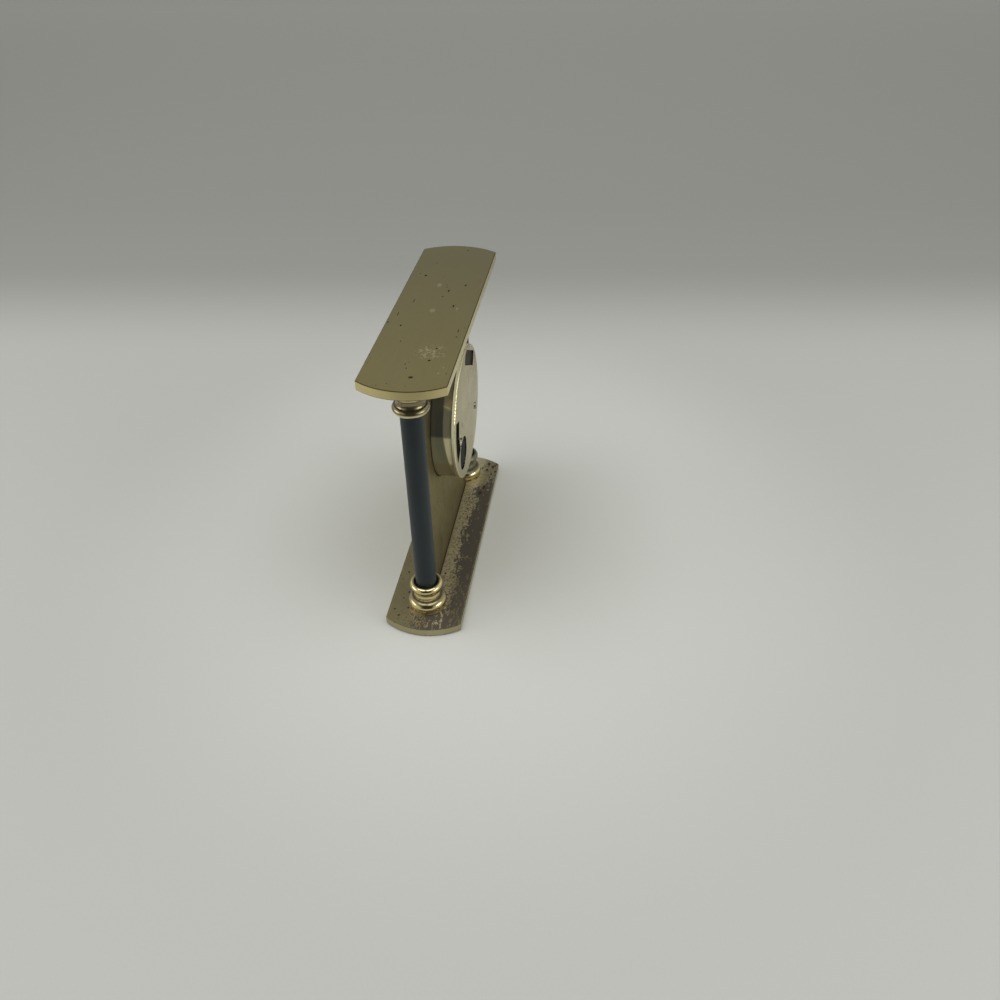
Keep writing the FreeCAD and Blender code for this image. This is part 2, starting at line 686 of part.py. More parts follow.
rim = "(drum_radius + cover_overhang)"
cover = turned("back_cover", [
    ("0", "cover_inner"), ("drum_radius + seat_slack", "cover_inner"),
    ("drum_radius + seat_slack", "cover_rear - cover_skirt"), (rim, "cover_rear - cover_skirt"),
    (rim, "cover_rear - cover_round"),
    (rim + " - cover_round * (1 - cos(45))", "cover_rear - cover_round * (1 - cos(45))", "arc"),
    (rim + " - cover_round", "cover_rear"), ("0", "cover_rear")])
openings = sketch_on(cover, "XZ_Plane", "cover_rear")
start, stop, middle = "slot_start_angle", "slot_end_angle", "((slot_start_angle + slot_end_angle) / 2)"
draw_outline(openings, [("%s * cos(%s)" % (radius, angle), "%s * sin(%s)" % (radius, angle)) + kind
                        for radius, angle, kind in (
    ("slot_inner", start, ()), ("slot_outer", start, ()), ("slot_outer", middle, ("arc",)),
    ("slot_outer", stop, ()), ("slot_inner", stop, ()), ("slot_inner", middle, ("arc",)))])
# The hatch's corners along and across its own tilt, from its middle.
half_length, half_height = "hatch_length / 2", "hatch_height / 2"
draw_outline(openings, [("hatch_x + (%s) * cos(hatch_angle) - (%s) * sin(hatch_angle)" % corner,
                         "hatch_z + (%s) * sin(hatch_angle) + (%s) * cos(hatch_angle)" % corner) for corner in (
    ("-" + half_length, "-" + half_height), (half_length, "-" + half_height),
    (half_length, half_height + " - hatch_corner"), (half_length + " - hatch_corner", half_height),
    ("-" + half_length, half_height))])
draw_circle(openings, "knob_x", "knob_z", "knob_hole")
draw_circle(openings, "cover_screw_x", "cover_screw_z", "cover_screw_diameter / 2 + bolt_slack")
pocket_forward(cover, openings, "2 * cover_sheet")
drum_place(cover)

screws_front("cover_screw", [("cover_screw_x", "drum_axis + cover_screw_z")], "cover_screw_diameter / 2",
             "cover_head_diameter / 2", "cover_head_height", "cover_rear",
             "cover_sheet + movement_rear_gap + cover_screw_bite")

drum_place(turned("bezel", [
    ("neck_tube_radius + seat_slack", "panel_front"), ("bezel_radius", "panel_front"),
    ("bezel_radius", "panel_front - bezel_side"),
    ("bezel_radius - (bezel_radius - bezel_opening) / 8", "bezel_front + (bezel_depth - bezel_side) / 3", "arc"),
    ("bezel_radius - (bezel_radius - bezel_opening) / 3", "bezel_front"),
    ("bezel_opening + bezel_lip", "bezel_front"), ("bezel_opening", "glass_front - bezel_lip / 3"),
    ("bezel_opening", "glass_front"), ("neck_tube_radius + seat_slack", "glass_front")]))
drum_place(disc("glass", "0", "neck_tube_radius - seat_slack", "glass_front", "neck_front"))
drum_place(disc("dial", "dial_hole", "neck_inside - seat_slack", "dial_front", "movement_front"))


# Where the axes are.
def polar(length, degrees):
    return Vector(length * math.cos(math.radians(degrees)), 0, length * math.sin(math.radians(degrees)))


def heading(start, end):
    return math.degrees(math.atan2(end.z - start.z, end.x - start.x))


def pitch_radius(module, teeth):
    return size(module) * size(teeth) / 2


def pair_distance(module, teeth, other):
    return pitch_radius(module, teeth) + pitch_radius(module, other)


centre = Vector(0, 0, 0)
knob_axis = Vector(size("knob_x"), 0, size("knob_z"))
# The minute wheel meshes with the cannon pinion and with the setting pinion, so its axis is
# the corner of a triangle over the line from the middle to the knob.
near = pair_distance("motion_module", "cannon_teeth", "minute_wheel_teeth")
far = pair_distance("motion_module", "setting_teeth", "minute_wheel_teeth")
span = knob_axis.Length
corner_angle = math.degrees(math.acos((near ** 2 + span ** 2 - far ** 2) / (2 * near * span)))
minute_axis = polar(near, heading(centre, knob_axis) + corner_angle)
third_axis = polar(pair_distance("train_module", "seconds_wheel_teeth", "pinion_leaves"), size("third_angle"))
rotor_axis = third_axis + polar(pair_distance("rotor_module", "third_wheel_teeth", "pinion_leaves"),
                                size("rotor_angle"))


def spot(axis):
    # An axis as a pair of plain numbers, for sketches on the XZ plane.
    return "%.6f" % axis.x, "%.6f" % axis.z


# Gears.
ADDENDUM = 0.9          # tooth above the pitch circle, in modules
DEDENDUM = 1.2          # tooth below it
PITCH_SHARE = 0.44      # width of a tooth at the pitch circle, in pitches
TIP_SHARE = 0.20        # at its tip
ROOT_SHARE = 0.50       # at its root


def gear(module, teeth, first_tooth, front, thickness):
    # A spur gear about Y, with one tooth centred on first_tooth, in degrees from +X to +Z.
    module, teeth = size(module), int(size(teeth))
    middle = module * teeth / 2
    pitch = 360 / teeth
    profile = [(middle - DEDENDUM * module, -ROOT_SHARE / 2), (middle, -PITCH_SHARE / 2),
               (middle + ADDENDUM * module, -TIP_SHARE / 2), (middle + ADDENDUM * module, TIP_SHARE / 2),
               (middle, PITCH_SHARE / 2), (middle - DEDENDUM * module, ROOT_SHARE / 2)]
    points = [polar(radius, first_tooth + (tooth + share) * pitch)
              for tooth in range(teeth) for radius, share in profile]
    level = Vector(0, size(front), 0)
    wire = Part.makePolygon([point + level for point in points + points[:1]])
    return Part.Face(wire).extrude(Vector(0, size(thickness), 0))


def rod(radius, front, rear):
    return Part.makeCylinder(size(radius), size(rear) - size(front), Vector(0, size(front), 0), Vector(0, 1, 0))


def shaped(label, axis, shape, hole=None):
    # A piece given by its solid, placed on an axis of the movement.
    if hole:
        shape = shape.cut(hole)
    piece = doc.addObject("Part::Feature", label)
    piece.Label = label
    piece.Shape = shape.removeSplitter()
    piece.Placement = Placement(axis + Vector(0, 0, size("drum_axis")), Rotation())
    return keep(piece)


def meshing(teeth, tooth, direction, other):
    # Where a tooth of the other gear stands, when this one has a tooth at `tooth`.
    teeth, other = size(teeth), size(other)
    phase = (direction - tooth) / (360 / teeth)
    return direction + 180 - (0.5 - phase) * 360 / other


# Hour wheel and pipe, cannon pinion and pipe, minute wheel with its pinion, setting pinion.
to_minute = heading(centre, minute_axis)
minute_tooth = meshing("cannon_teeth", to_minute, to_minute, "minute_wheel_teeth")
hour_tooth = meshing("minute_pinion_teeth", to_minute + 180, to_minute + 180, "hour_wheel_teeth")
to_knob = heading(minute_axis, knob_axis)
setting_tooth = meshing("minute_wheel_teeth", minute_tooth, to_knob, "setting_teeth")
hour_rear = "hour_wheel_depth + hour_wheel_thickness"
minute_rear = "minute_wheel_depth + minute_wheel_thickness"
cannon_front = hour_rear + " + pipe_slack"
cannon_rear = "plate_depth - pipe_slack"

shaped("hour_wheel", centre,
       gear("hour_module", "hour_wheel_teeth", hour_tooth, "hour_wheel_depth", "hour_wheel_thickness")
       .fuse(rod("hour_pipe_radius", "hour_hand_depth", hour_rear)),
       rod("minute_pipe_radius + running_slack", "hour_hand_depth", hour_rear))
shaped("cannon_pinion", centre,
       gear("motion_module", "cannon_teeth", to_minute, cannon_front, "%s - (%s)" % (cannon_rear, cannon_front))
       .fuse(rod("minute_pipe_radius", "minute_hand_depth", cannon_rear)),
       rod("seconds_shaft_radius + running_slack", "minute_hand_depth", cannon_rear))
shaped("minute_wheel", minute_axis,
       gear("motion_module", "minute_wheel_teeth", minute_tooth, "minute_wheel_depth", "minute_wheel_thickness")
       .fuse(gear("hour_module", "minute_pinion_teeth", to_minute + 180, "movement_inner_front + pipe_slack",
                  "minute_wheel_depth - movement_inner_front - pipe_slack")),
       rod("minute_post_radius + running_slack", "movement_inner_front", minute_rear))
shaped("setting_pinion", knob_axis,
       gear("motion_module", "setting_teeth", setting_tooth, "minute_wheel_depth - pipe_slack",
            "minute_wheel_thickness + 2 * pipe_slack")
       .fuse(rod("setting_shaft_radius", "movement_inner_front + pipe_slack", "movement_rear")))

# Seconds wheel and shaft, third wheel with its pinion, rotor with its pinion.
to_third = heading(centre, third_axis)
to_rotor = heading(third_axis, rotor_axis)
seconds_tooth = meshing("pinion_leaves", to_third + 180, to_third + 180, "seconds_wheel_teeth")
rotor_tooth = meshing("third_wheel_teeth", to_rotor, to_rotor, "pinion_leaves")
bearing_rear = "movement_inner_rear - pipe_slack"
train_front = "plate_depth + pipe_slack"

shaped("seconds_wheel", centre,
       gear("train_module", "seconds_wheel_teeth", seconds_tooth, "seconds_wheel_depth", "train_wheel_thickness")
       .fuse(rod("seconds_shaft_radius", "seconds_hand_depth", bearing_rear)))
shaped("third_wheel", third_axis,
       gear("rotor_module", "third_wheel_teeth", to_rotor, "third_wheel_depth", "train_wheel_thickness")
       .fuse(gear("train_module", "pinion_leaves", to_third + 180, "seconds_wheel_depth - pipe_slack",
                  "third_wheel_depth - seconds_wheel_depth + pipe_slack"))
       .fuse(rod("pivot_radius", train_front, bearing_rear)))
magnet_rear = "magnet_depth + magnet_thickness"
shaped("rotor_pinion", rotor_axis,
       gear("rotor_module", "pinion_leaves", rotor_tooth, "third_wheel_depth - pipe_slack",
            "train_wheel_thickness + 2 * pipe_slack")
       .fuse(rod("pivot_radius", train_front, bearing_rear)))
shaped("rotor_magnet", rotor_axis, rod("magnet_radius", "magnet_depth", magnet_rear),
       rod("pivot_radius + thread_slack", "magnet_depth", magnet_rear))


# Setting knob.
knob = turned("setting_knob", [
    ("setting_shaft_radius + thread_slack", "movement_rear + knob_rise - knob_thickness"),
    ("knob_radius", "movement_rear + knob_rise - knob_thickness"), ("knob_radius", "movement_rear + knob_rise"),
    ("0", "movement_rear + knob_rise"), ("0", "movement_rear"),
    ("setting_shaft_radius + thread_slack", "movement_rear")])
grip = sketch_on(knob, "XZ_Plane", "movement_rear + knob_rise")
draw_circle(grip, "knob_radius", "0", "knob_rib_radius")
pattern(knob, pocket_forward(knob, grip, "knob_thickness"), "Y_Axis", "knob_ribs")
drum_place(knob, "knob_x", "knob_z")


# Frames of the movement.
CASE_SCREW_ANGLES = (45, 165, 285)      # clear of the coil, the cell and the knob
POST_ANGLES = (95, 180, 265)            # clear of the minute wheel

case_screw_spots = [("case_screw_radius * cos(%d)" % angle, "case_screw_radius * sin(%d)" % angle)
                    for angle in CASE_SCREW_ANGLES]
post_spots = [("train_post_circle * cos(%d)" % angle, "train_post_circle * sin(%d)" % angle)
              for angle in POST_ANGLES]
coil_spots = [("stator_middle %s (stator_span - stator_arm) / 2" % sign, "coil_height") for sign in "-+"]
boss_depth = "movement_split - movement_inner_front"

front = turned("movement_front_frame", [
    ("hour_pipe_radius + running_slack", "movement_front"), ("movement_face_radius", "movement_front"),
    ("movement_face_radius", "drum_ledge"), ("movement_radius", "drum_ledge"),
    ("movement_radius", "movement_split"), ("movement_radius - movement_wall", "movement_split"),
    ("movement_radius - movement_wall", "drum_ledge + movement_wall"),
    ("movement_face_radius - movement_wall", "drum_ledge + movement_wall"),
    ("movement_face_radius - movement_wall", "movement_inner_front"),
    ("hour_pipe_radius + running_slack", "movement_inner_front")])
pad_circles(front, "movement_inner_front", boss_depth, [place_ + ("boss_radius",) for place_ in case_screw_spots])
pad_circles(front, "movement_inner_front", "stator_depth - movement_inner_front",
            [place_ + ("boss_radius",) for place_ in coil_spots])
pad_circles(front, "movement_inner_front", "plate_depth - movement_inner_front",
            [place_ + ("train_post_radius",) for place_ in post_spots])
pad_circles(front, "movement_inner_front", "plate_depth + train_plate_thickness - movement_inner_front",
            [place_ + ("train_post_radius / 2",) for place_ in post_spots]
            + [spot(minute_axis) + ("minute_post_radius",)])
pad_circles(front, "movement_inner_front", "minute_wheel_depth - 3 * pipe_slack - movement_inner_front",
            [("knob_x", "knob_z", "boss_radius")])
cut_circles(front, "movement_split", boss_depth,
            [place_ + ("case_screw_diameter / 2 + thread_slack",) for place_ in case_screw_spots])
cut_circles(front, "stator_depth", "stator_depth - movement_inner_front",
            [place_ + ("case_screw_diameter / 2 + thread_slack",) for place_ in coil_spots])
cut_circles(front, "minute_wheel_depth", "minute_wheel_depth - movement_inner_front",
            [("knob_x", "knob_z", "setting_shaft_radius + running_slack")])
drum_place(front)

rear = turned("movement_rear_frame", [
    ("0", "movement_inner_rear"), ("movement_radius - movement_wall", "movement_inner_rear"),
    ("movement_radius - movement_wall", "movement_split"), ("movement_radius", "movement_split"),
    ("movement_radius", "movement_rear"), ("0", "movement_rear")])
well_floor = "(movement_rear + knob_rise - knob_thickness - pipe_slack)"
well_radius = "(knob_radius + knob_well_slack)"
cup_inside = "(battery_radius + battery_slack)"
cup_floor = "(movement_rear - battery_thickness - 2 * contact_thickness)"
bearing_front = "third_wheel_depth + train_wheel_thickness + 5 * pipe_slack"
board_spots = [("board_left + board_slope", "board_top - 2 * board_slope"),
               ("board_right - 2 * board_slope", "board_low + board_slope")]
pad_circles(rear, well_floor + " - movement_wall", "movement_inner_rear - %s + movement_wall" % well_floor,
            [("knob_x", "knob_z", well_radius + " + cup_wall")])
pad_circles(rear, cup_floor + " - cup_wall / 2", "movement_inner_rear - %s + cup_wall / 2" % cup_floor,
            [("battery_x", "battery_z", cup_inside + " + cup_wall")])
pad_circles(rear, bearing_front, "movement_inner_rear - (%s)" % bearing_front,
            [("0", "0", "hub_radius"), spot(third_axis) + ("hub_radius",), spot(rotor_axis) + ("hub_radius",)])
pad_circles(rear, "movement_split", "movement_inner_rear - movement_split",
            [place_ + ("boss_radius",) for place_ in case_screw_spots]
            + [("cover_screw_x", "cover_screw_z", "boss_radius")])
pad_circles(rear, "board_depth + board_thickness", "movement_inner_rear - board_depth - board_thickness",
            [place_ + ("hub_radius",) for place_ in board_spots])
cut_circles(rear, "movement_rear", "movement_rear - " + well_floor, [("knob_x", "knob_z", well_radius)])
cut_circles(rear, well_floor, "movement_wall", [("knob_x", "knob_z", "setting_shaft_radius + running_slack")])
cut_circles(rear, "movement_rear", "movement_rear - " + cup_floor, [("battery_x", "battery_z", cup_inside)])
cut_circles(rear, "movement_inner_rear", "movement_inner_rear - (%s)" % bearing_front,
            [("0", "0", "seconds_shaft_radius + running_slack"),
             spot(third_axis) + ("pivot_radius + running_slack",),
             spot(rotor_axis) + ("pivot_radius + running_slack",)])
cut_circles(rear, "movement_rear", "movement_rear - movement_split",
            [place_ + ("case_screw_diameter / 2 + bolt_slack",) for place_ in case_screw_spots])
cut_circles(rear, "movement_rear", "movement_wall / 2",
            [place_ + ("case_head_diameter / 2 + bolt_slack",) for place_ in case_screw_spots])
cut_circles(rear, "movement_rear", "cover_screw_bite",
            [("cover_screw_x", "cover_screw_z", "cover_screw_diameter / 2 + thread_slack")])
drum_place(rear)

train_plate = disc("train_plate", "seconds_shaft_radius + pipe_slack", "train_plate_radius", "plate_depth",
                   "plate_depth + train_plate_thickness")
cut_circles(train_plate, "plate_depth + train_plate_thickness", "train_plate_thickness",
            [place_ + ("train_post_radius / 2 + seat_slack",) for place_ in post_spots]
            + [spot(minute_axis) + ("minute_post_radius + seat_slack",),
               spot(third_axis) + ("pivot_radius + running_slack",),
               spot(rotor_axis) + ("pivot_radius + running_slack",)])
drum_place(train_plate)

screws_front("movement_screws", [(x, "drum_axis + " + z) for x, z in case_screw_spots],
             "case_screw_diameter / 2", "case_head_diameter / 2", "movement_wall / 2",
             "movement_rear - movement_wall / 2",
             "movement_rear - movement_wall / 2 - movement_split + cover_screw_bite")


# Coil, stator and electronics.
stator = new_body("stator")
stator_sketch = sketch_on(stator, "XZ_Plane", "stator_depth")
left, right = "stator_middle - stator_span / 2", "stator_middle + stator_span / 2"
arm_top = "coil_height + core_width / 2 + seat_slack"
bar_low = "%s - magnet_radius - stator_gap - seat_slack" % spot(rotor_axis)[1]
bar_high = "%s + magnet_radius + 2 * stator_gap" % spot(rotor_axis)[1]
draw_outline(stator_sketch, [
    (left, bar_low), (right, bar_low), (right, arm_top), (right + " - stator_arm", arm_top),
    (right + " - stator_arm", bar_high), (left + " + stator_arm", bar_high), (left + " + stator_arm", arm_top),
    (left, arm_top)])
draw_circle(stator_sketch, *spot(rotor_axis), "magnet_radius + stator_gap")
for x, z in coil_spots:
    draw_circle(stator_sketch, x, z, "case_screw_diameter / 2 + bolt_slack")
pad_back(stator, stator_sketch, "stator_thickness")
drum_place(stator)

core_depth = "(stator_depth + stator_thickness)"
core = new_body("coil_core")
core_sketch = sketch_on(core, "XZ_Plane", core_depth)
draw_box(core_sketch, left, "coil_height - core_width / 2", right, "coil_height + core_width / 2")
for x, z in coil_spots:
    draw_circle(core_sketch, x, z, "case_screw_diameter / 2 + bolt_slack")
pad_back(core, core_sketch, "core_thickness")
drum_place(core)

screws_front("coil_screws", [(x, "drum_axis + " + z) for x, z in coil_spots], "case_screw_diameter / 2",
             "case_head_diameter / 2", "movement_wall / 2", core_depth + " + core_thickness",
             "core_thickness + stator_thickness + cover_screw_bite")

coil_y, coil_z = core_depth + " + core_thickness / 2", "drum_axis + coil_height"
coil_x = "stator_middle - bobbin_length / 2"
former = [cylinder("former_tube", "bobbin_tube", "bobbin_length", coil_x, coil_y, coil_z, "X"),
          cylinder("former_left", "bobbin_radius", "bobbin_flange", coil_x, coil_y, coil_z, "X"),
          cylinder("former_right", "bobbin_radius", "bobbin_flange",
                   "stator_middle + bobbin_length / 2 - bobbin_flange", coil_y, coil_z, "X")]
former_slot = box("former_slot", "bobbin_length", "core_thickness + 2 * seat_slack", "core_width + 2 * seat_slack",
                  coil_x, core_depth + " - seat_slack", coil_z + " - core_width / 2 - seat_slack")
bobbin = keep(cut("coil_bobbin", fused("former", former), former_slot))
bobbin.Label = "coil_bobbin"
winding_x, winding_length = coil_x + " + bobbin_flange", "bobbin_length - 2 * bobbin_flange"
winding = keep(cut("coil_winding",
                   cylinder("wound", "winding_radius", winding_length, winding_x, coil_y, coil_z, "X"),
                   cylinder("wound_bore", "bobbin_tube", winding_length, winding_x, coil_y, coil_z, "X")))
winding.Label = "coil_winding"

board = new_body("circuit_board")
board_sketch = sketch_on(board, "XZ_Plane", "board_depth")
draw_outline(board_sketch, [
    ("board_left", "board_low"), ("board_right", "board_low"), ("board_right - board_slope", "board_step"),
    ("board_waist", "board_step"), ("board_waist", "board_top - board_slope"), ("board_left", "board_top")])
pad_back(board, board_sketch, "board_thickness")
drum_place(board)

chip = keep(box("chip", "chip_side", "chip_thickness", "chip_side", "board_waist", "board_depth - chip_thickness",
                "drum_axis + board_low + cup_wall"))
chip.Label = "chip"
crystal = keep(cylinder("crystal", "crystal_radius", "crystal_length", "board_left + 2 * crystal_radius",
                        "board_depth - crystal_radius", "drum_axis + board_step"))
crystal.Label = "crystal"

drum_place(turned("battery", [
    ("0", cup_floor + " + contact_thickness"), ("battery_radius - cup_wall", cup_floor + " + contact_thickness"),
    ("battery_radius - cup_wall / 2", cup_floor + " + 2 * contact_thickness"),
    ("battery_radius", cup_floor + " + 4 * contact_thickness"),
    ("battery_radius", cup_floor + " + contact_thickness + battery_thickness"),
    ("0", cup_floor + " + contact_thickness + battery_thickness")]), "battery_x", "battery_z")
drum_place(disc("battery_contact", "pivot_radius", "battery_radius - cup_wall", cup_floor,
                cup_floor + " + contact_thickness"), "battery_x", "battery_z")


# Hands.
def hand(label, length, width, depth, eye, hole, degrees):
    # A tapered hand round its eye, drawn towards twelve and turned clockwise about Y.
    body = new_body(label)
    sketch = sketch_on(body, "XZ_Plane", depth + " + hand_thickness")
    draw_circle(sketch, "0", "0", eye)
    pad_forward(body, sketch, "hand_thickness")
    blade = sketch_on(body, "XZ_Plane", depth + " + hand_thickness")
    draw_outline(blade, [
        ("-%s / 3" % width, "-(%s) * 2" % eye), ("%s / 3" % width, "-(%s) * 2" % eye),
        ("%s / 2" % width, length + " * 3 / 4"), ("0", length), ("-%s / 2" % width, length + " * 3 / 4")])
    pad_forward(body, blade, "hand_thickness")
    bore = sketch_on(body, "XZ_Plane", depth)
    draw_circle(bore, "0", "0", hole)
    pocket_back(body, bore, "hand_thickness")
    place(body, "0", "0", "drum_axis", Rotation(Vector(0, 1, 0), degrees))
    return body


shown = size("shown_angle")
hand("hour_hand", "hour_hand_length", "hour_hand_width", "hour_hand_depth", "hour_pipe_radius + cup_wall",
     "hour_pipe_radius + thread_slack", shown)
hand("minute_hand", "minute_hand_length", "minute_hand_width", "minute_hand_depth",
     "minute_pipe_radius + cup_wall", "minute_pipe_radius + thread_slack", shown * 12 % 360)
hand("seconds_hand", "seconds_hand_length", "seconds_hand_width", "seconds_hand_depth",
     "seconds_shaft_radius + cup_wall", "seconds_shaft_radius + thread_slack", shown * 720 % 360)


# Calendar.
def rounded_box(sketch, left, bottom, right, top, radius):
    # Each rounded corner passes through the point at 45 degrees on its circle.
    inset = "%s * (1 - cos(45))" % radius
    draw_outline(sketch, [
        ("%s + %s" % (left, radius), bottom), ("%s - %s" % (right, radius), bottom),
        ("%s - %s" % (right, inset), "%s + %s" % (bottom, inset), "arc"),
        (right, "%s + %s" % (bottom, radius)), (right, "%s - %s" % (top, radius)),
        ("%s - %s" % (right, inset), "%s - %s" % (top, inset), "arc"),
        ("%s - %s" % (right, radius), top), ("%s + %s" % (left, radius), top),
        ("%s + %s" % (left, inset), "%s - %s" % (top, inset), "arc"),
        (left, "%s - %s" % (top, radius)), (left, "%s + %s" % (bottom, radius)),
        ("%s + %s" % (left, inset), "%s + %s" % (bottom, inset), "arc")])


box_corners = ("-calendar_width / 2", "calendar_foot", "calendar_width / 2", "calendar_top", "calendar_corner")
wheel_spots = {
    "date": ("0", "calendar_foot + date_height", "date_radius", 31, "date_window"),
    "day": ("-small_place", "calendar_top - small_drop", "small_radius", 14, "day_window"),
    "month": ("small_place", "calendar_top - small_drop", "small_radius", 24, "month_window"),
}

case = new_body("calendar_body")
case_sketch = sketch_on(case, "XZ_Plane", "panel_front")
rounded_box(case_sketch, *box_corners)
pad_forward(case, case_sketch, "calendar_depth - calendar_face")
for x, z, radius, notches, window in wheel_spots.values():
    room = sketch_on(case, "XZ_Plane", "calendar_lid")
    draw_circle(room, x, z, radius + " + wheel_slack")
    pocket_back(case, room, "calendar_depth - calendar_face - calendar_back")
fixings = sketch_on(case, "XZ_Plane", "calendar_lid")
for x, z in calendar_spots:
    draw_circle(fixings, x, z, "calendar_screw_diameter / 2 + bolt_slack")
for x, z, radius, notches, window in wheel_spots.values():
    draw_circle(fixings, x, z, "rivet_radius + thread_slack")
pocket_back(case, fixings, "calendar_depth")

face = new_body("calendar_face")
face_sketch = sketch_on(face, "XZ_Plane", "calendar_lid")
rounded_box(face_sketch, *box_corners)
pad_forward(face, face_sketch, "calendar_face")
for x, z, radius, notches, window in wheel_spots.values():
    opening = sketch_on(face, "XZ_Plane", "calendar_front")
    draw_box(opening, "%s - %s / 2" % (x, window), "calendar_top - window_drop - window_height / 2",
             "%s + %s / 2" % (x, window), "calendar_top - window_drop + window_height / 2")
    pocket_back(face, opening, "calendar_face")
face_holes = sketch_on(face, "XZ_Plane", "calendar_front")
for x, z in calendar_spots:
    draw_circle(face_holes, x, z, "calendar_screw_diameter / 2 + bolt_slack")
draw_circle(face_holes, "0", "calendar_foot - finger_radius / 2", "finger_radius")
pocket_back(face, face_holes, "calendar_face")

screws_back("calendar_screws", calendar_spots, "calendar_screw_diameter / 2", "calendar_head_diameter / 2",
            "calendar_head_height", "calendar_front", "calendar_depth + calendar_screw_bite")

pins = []
for name, (x, z, radius, notches, window) in wheel_spots.items():
    wheel = turned(name + "_wheel", [
        ("pin_radius + running_slack", "calendar_lid + hub_slack"), ("wheel_hub", "calendar_lid + hub_slack"),
        ("wheel_hub", "wheel_front"), (radius, "wheel_front"), (radius, "wheel_front + wheel_thickness"),
        ("wheel_hub", "wheel_front + wheel_thickness"), ("wheel_hub", "calendar_floor - hub_slack"),
        ("pin_radius + running_slack", "calendar_floor - hub_slack")])
    notch = sketch_on(wheel, "XZ_Plane", "wheel_front + wheel_thickness")
    draw_circle(notch, radius, "0", "notch_radius")
    pattern(wheel, pocket_forward(wheel, notch, "wheel_thickness"), "Y_Axis", str(notches))
    place(wheel, x, "0", z)
    pin = cylinder(name + "_pin", "pin_radius", "calendar_floor - calendar_lid - hub_slack",
                   x, "calendar_lid + hub_slack", z, "Y")
    rivet = cylinder(name + "_rivet", "rivet_radius", "calendar_back", x, "calendar_floor", z, "Y")
    pins.append(fused(name + "_axle", [pin, rivet]))
group("calendar_pins", pins)


# Check and write.
doc.recompute()
for item in doc.Objects:
    if {"Invalid", "Error"} & set(item.State):
        raise ValueError("%s failed: %s" % (item.Label, item.State))
for part in parts:
    if part.Shape.isNull() or not part.Shape.isValid() or not part.Shape.Solids:
        raise ValueError("%s has no valid shape" % part.Label)
os.makedirs("parts", exist_ok=True)
for part in parts:
    part.Shape.exportStep("parts/%s.step" % part.Label)
    print("%-22s %d solid(s) %10.2f mm3" % (part.Label, len(part.Shape.Solids), part.Shape.Volume))
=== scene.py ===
import json
import math
import bmesh
import bpy
from mathutils import Matrix, Vector


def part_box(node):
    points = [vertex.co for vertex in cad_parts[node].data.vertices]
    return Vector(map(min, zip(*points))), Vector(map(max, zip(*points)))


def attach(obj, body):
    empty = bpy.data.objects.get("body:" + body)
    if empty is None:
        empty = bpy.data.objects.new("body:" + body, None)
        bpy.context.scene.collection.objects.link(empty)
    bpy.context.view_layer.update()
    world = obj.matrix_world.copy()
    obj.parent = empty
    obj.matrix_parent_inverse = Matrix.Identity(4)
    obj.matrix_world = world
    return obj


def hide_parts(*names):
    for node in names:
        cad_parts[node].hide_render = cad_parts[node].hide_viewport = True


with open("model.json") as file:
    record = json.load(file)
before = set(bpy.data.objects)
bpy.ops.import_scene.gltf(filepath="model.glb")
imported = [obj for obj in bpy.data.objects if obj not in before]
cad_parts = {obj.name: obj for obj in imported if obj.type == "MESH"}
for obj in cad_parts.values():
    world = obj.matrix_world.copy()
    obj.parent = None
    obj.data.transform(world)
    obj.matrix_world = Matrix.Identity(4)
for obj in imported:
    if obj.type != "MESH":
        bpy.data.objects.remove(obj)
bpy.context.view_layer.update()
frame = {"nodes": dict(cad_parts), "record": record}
record = frame["record"]
mm = 0.001


# Which body and which finish each CAD node belongs to.
bodyOf = {node: body for body, members in record["behaviour"]["bodies"].items() for node in members}
slotOf = {row["node"]: row["material_slot"] for row in record["subparts"]}
axisOf = {joint["name"]: Vector(joint["pos_m"]) for joint in record["behaviour"]["joints"]}
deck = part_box("base_plate")[1].z            # top face of the base plate
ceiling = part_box("top_plate")[0].z          # underside of the top plate
drumAxis = axisOf["minute_hand_turn"]
columnReach = sum(corner.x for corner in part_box("column_right")) / 2


camera = {
    "lens": 30.66, "sensor": 36.0,
    "place": (0.33506, 0.07748, 0.30000),
    "forward": (-0.772842, -0.114150, -0.624247),
    "right": (-0.138405, 0.990328, -0.009740),
}


def addObject(name, data):
    made = bpy.data.objects.new(name, data)
    bpy.context.scene.collection.objects.link(made)
    return made


def makeCamera(values):
    data = bpy.data.cameras.new("camera")
    data.lens = values["lens"]
    data.sensor_width = values["sensor"]
    data.clip_start = 0.01
    forward = Vector(values["forward"]).normalized()
    right = Vector(values["right"]).normalized()
    turn = Matrix((right, right.cross(forward), -forward)).transposed().to_4x4()
    made = addObject("camera", data)
    made.matrix_world = Matrix.Translation(values["place"]) @ turn
    bpy.context.scene.camera = made


lamps = {
    "upperLeft": {"place": (0.40, -0.46, 1.40), "aim": (0.25, 0.0, 0.0), "size": (1.3, 0.80), "power": 5.5},
    "upperRight": {"place": (0.40, 0.46, 1.40), "aim": (0.25, 0.0, 0.0), "size": (1.3, 0.80), "power": 5.5},
    "left": {"place": (0.24, -0.80, 0.23), "aim": (0.0, 0.0, 0.10), "size": (0.56, 0.30), "power": 1.3},
    "right": {"place": (0.24, 0.80, 0.23), "aim": (0.0, 0.0, 0.10), "size": (0.56, 0.30), "power": 1.3},
}
room = {
    "walls": (0.30, 0.305, 0.286), "sides": (0.80, 0.81, 0.77), "dark": (0.045, 0.045, 0.042),
    "ahead": (0.990, 0.138, 0.0), "across": (-0.138, 0.990, 0.0),
    "sideEdge": (0.45, 0.80), "backdrop": (0.50, 0.505, 0.48),
    "darkAhead": (-0.10, 0.20), "darkAcross": (0.60, 0.36), "darkHeight": (0.97, 0.88),
}


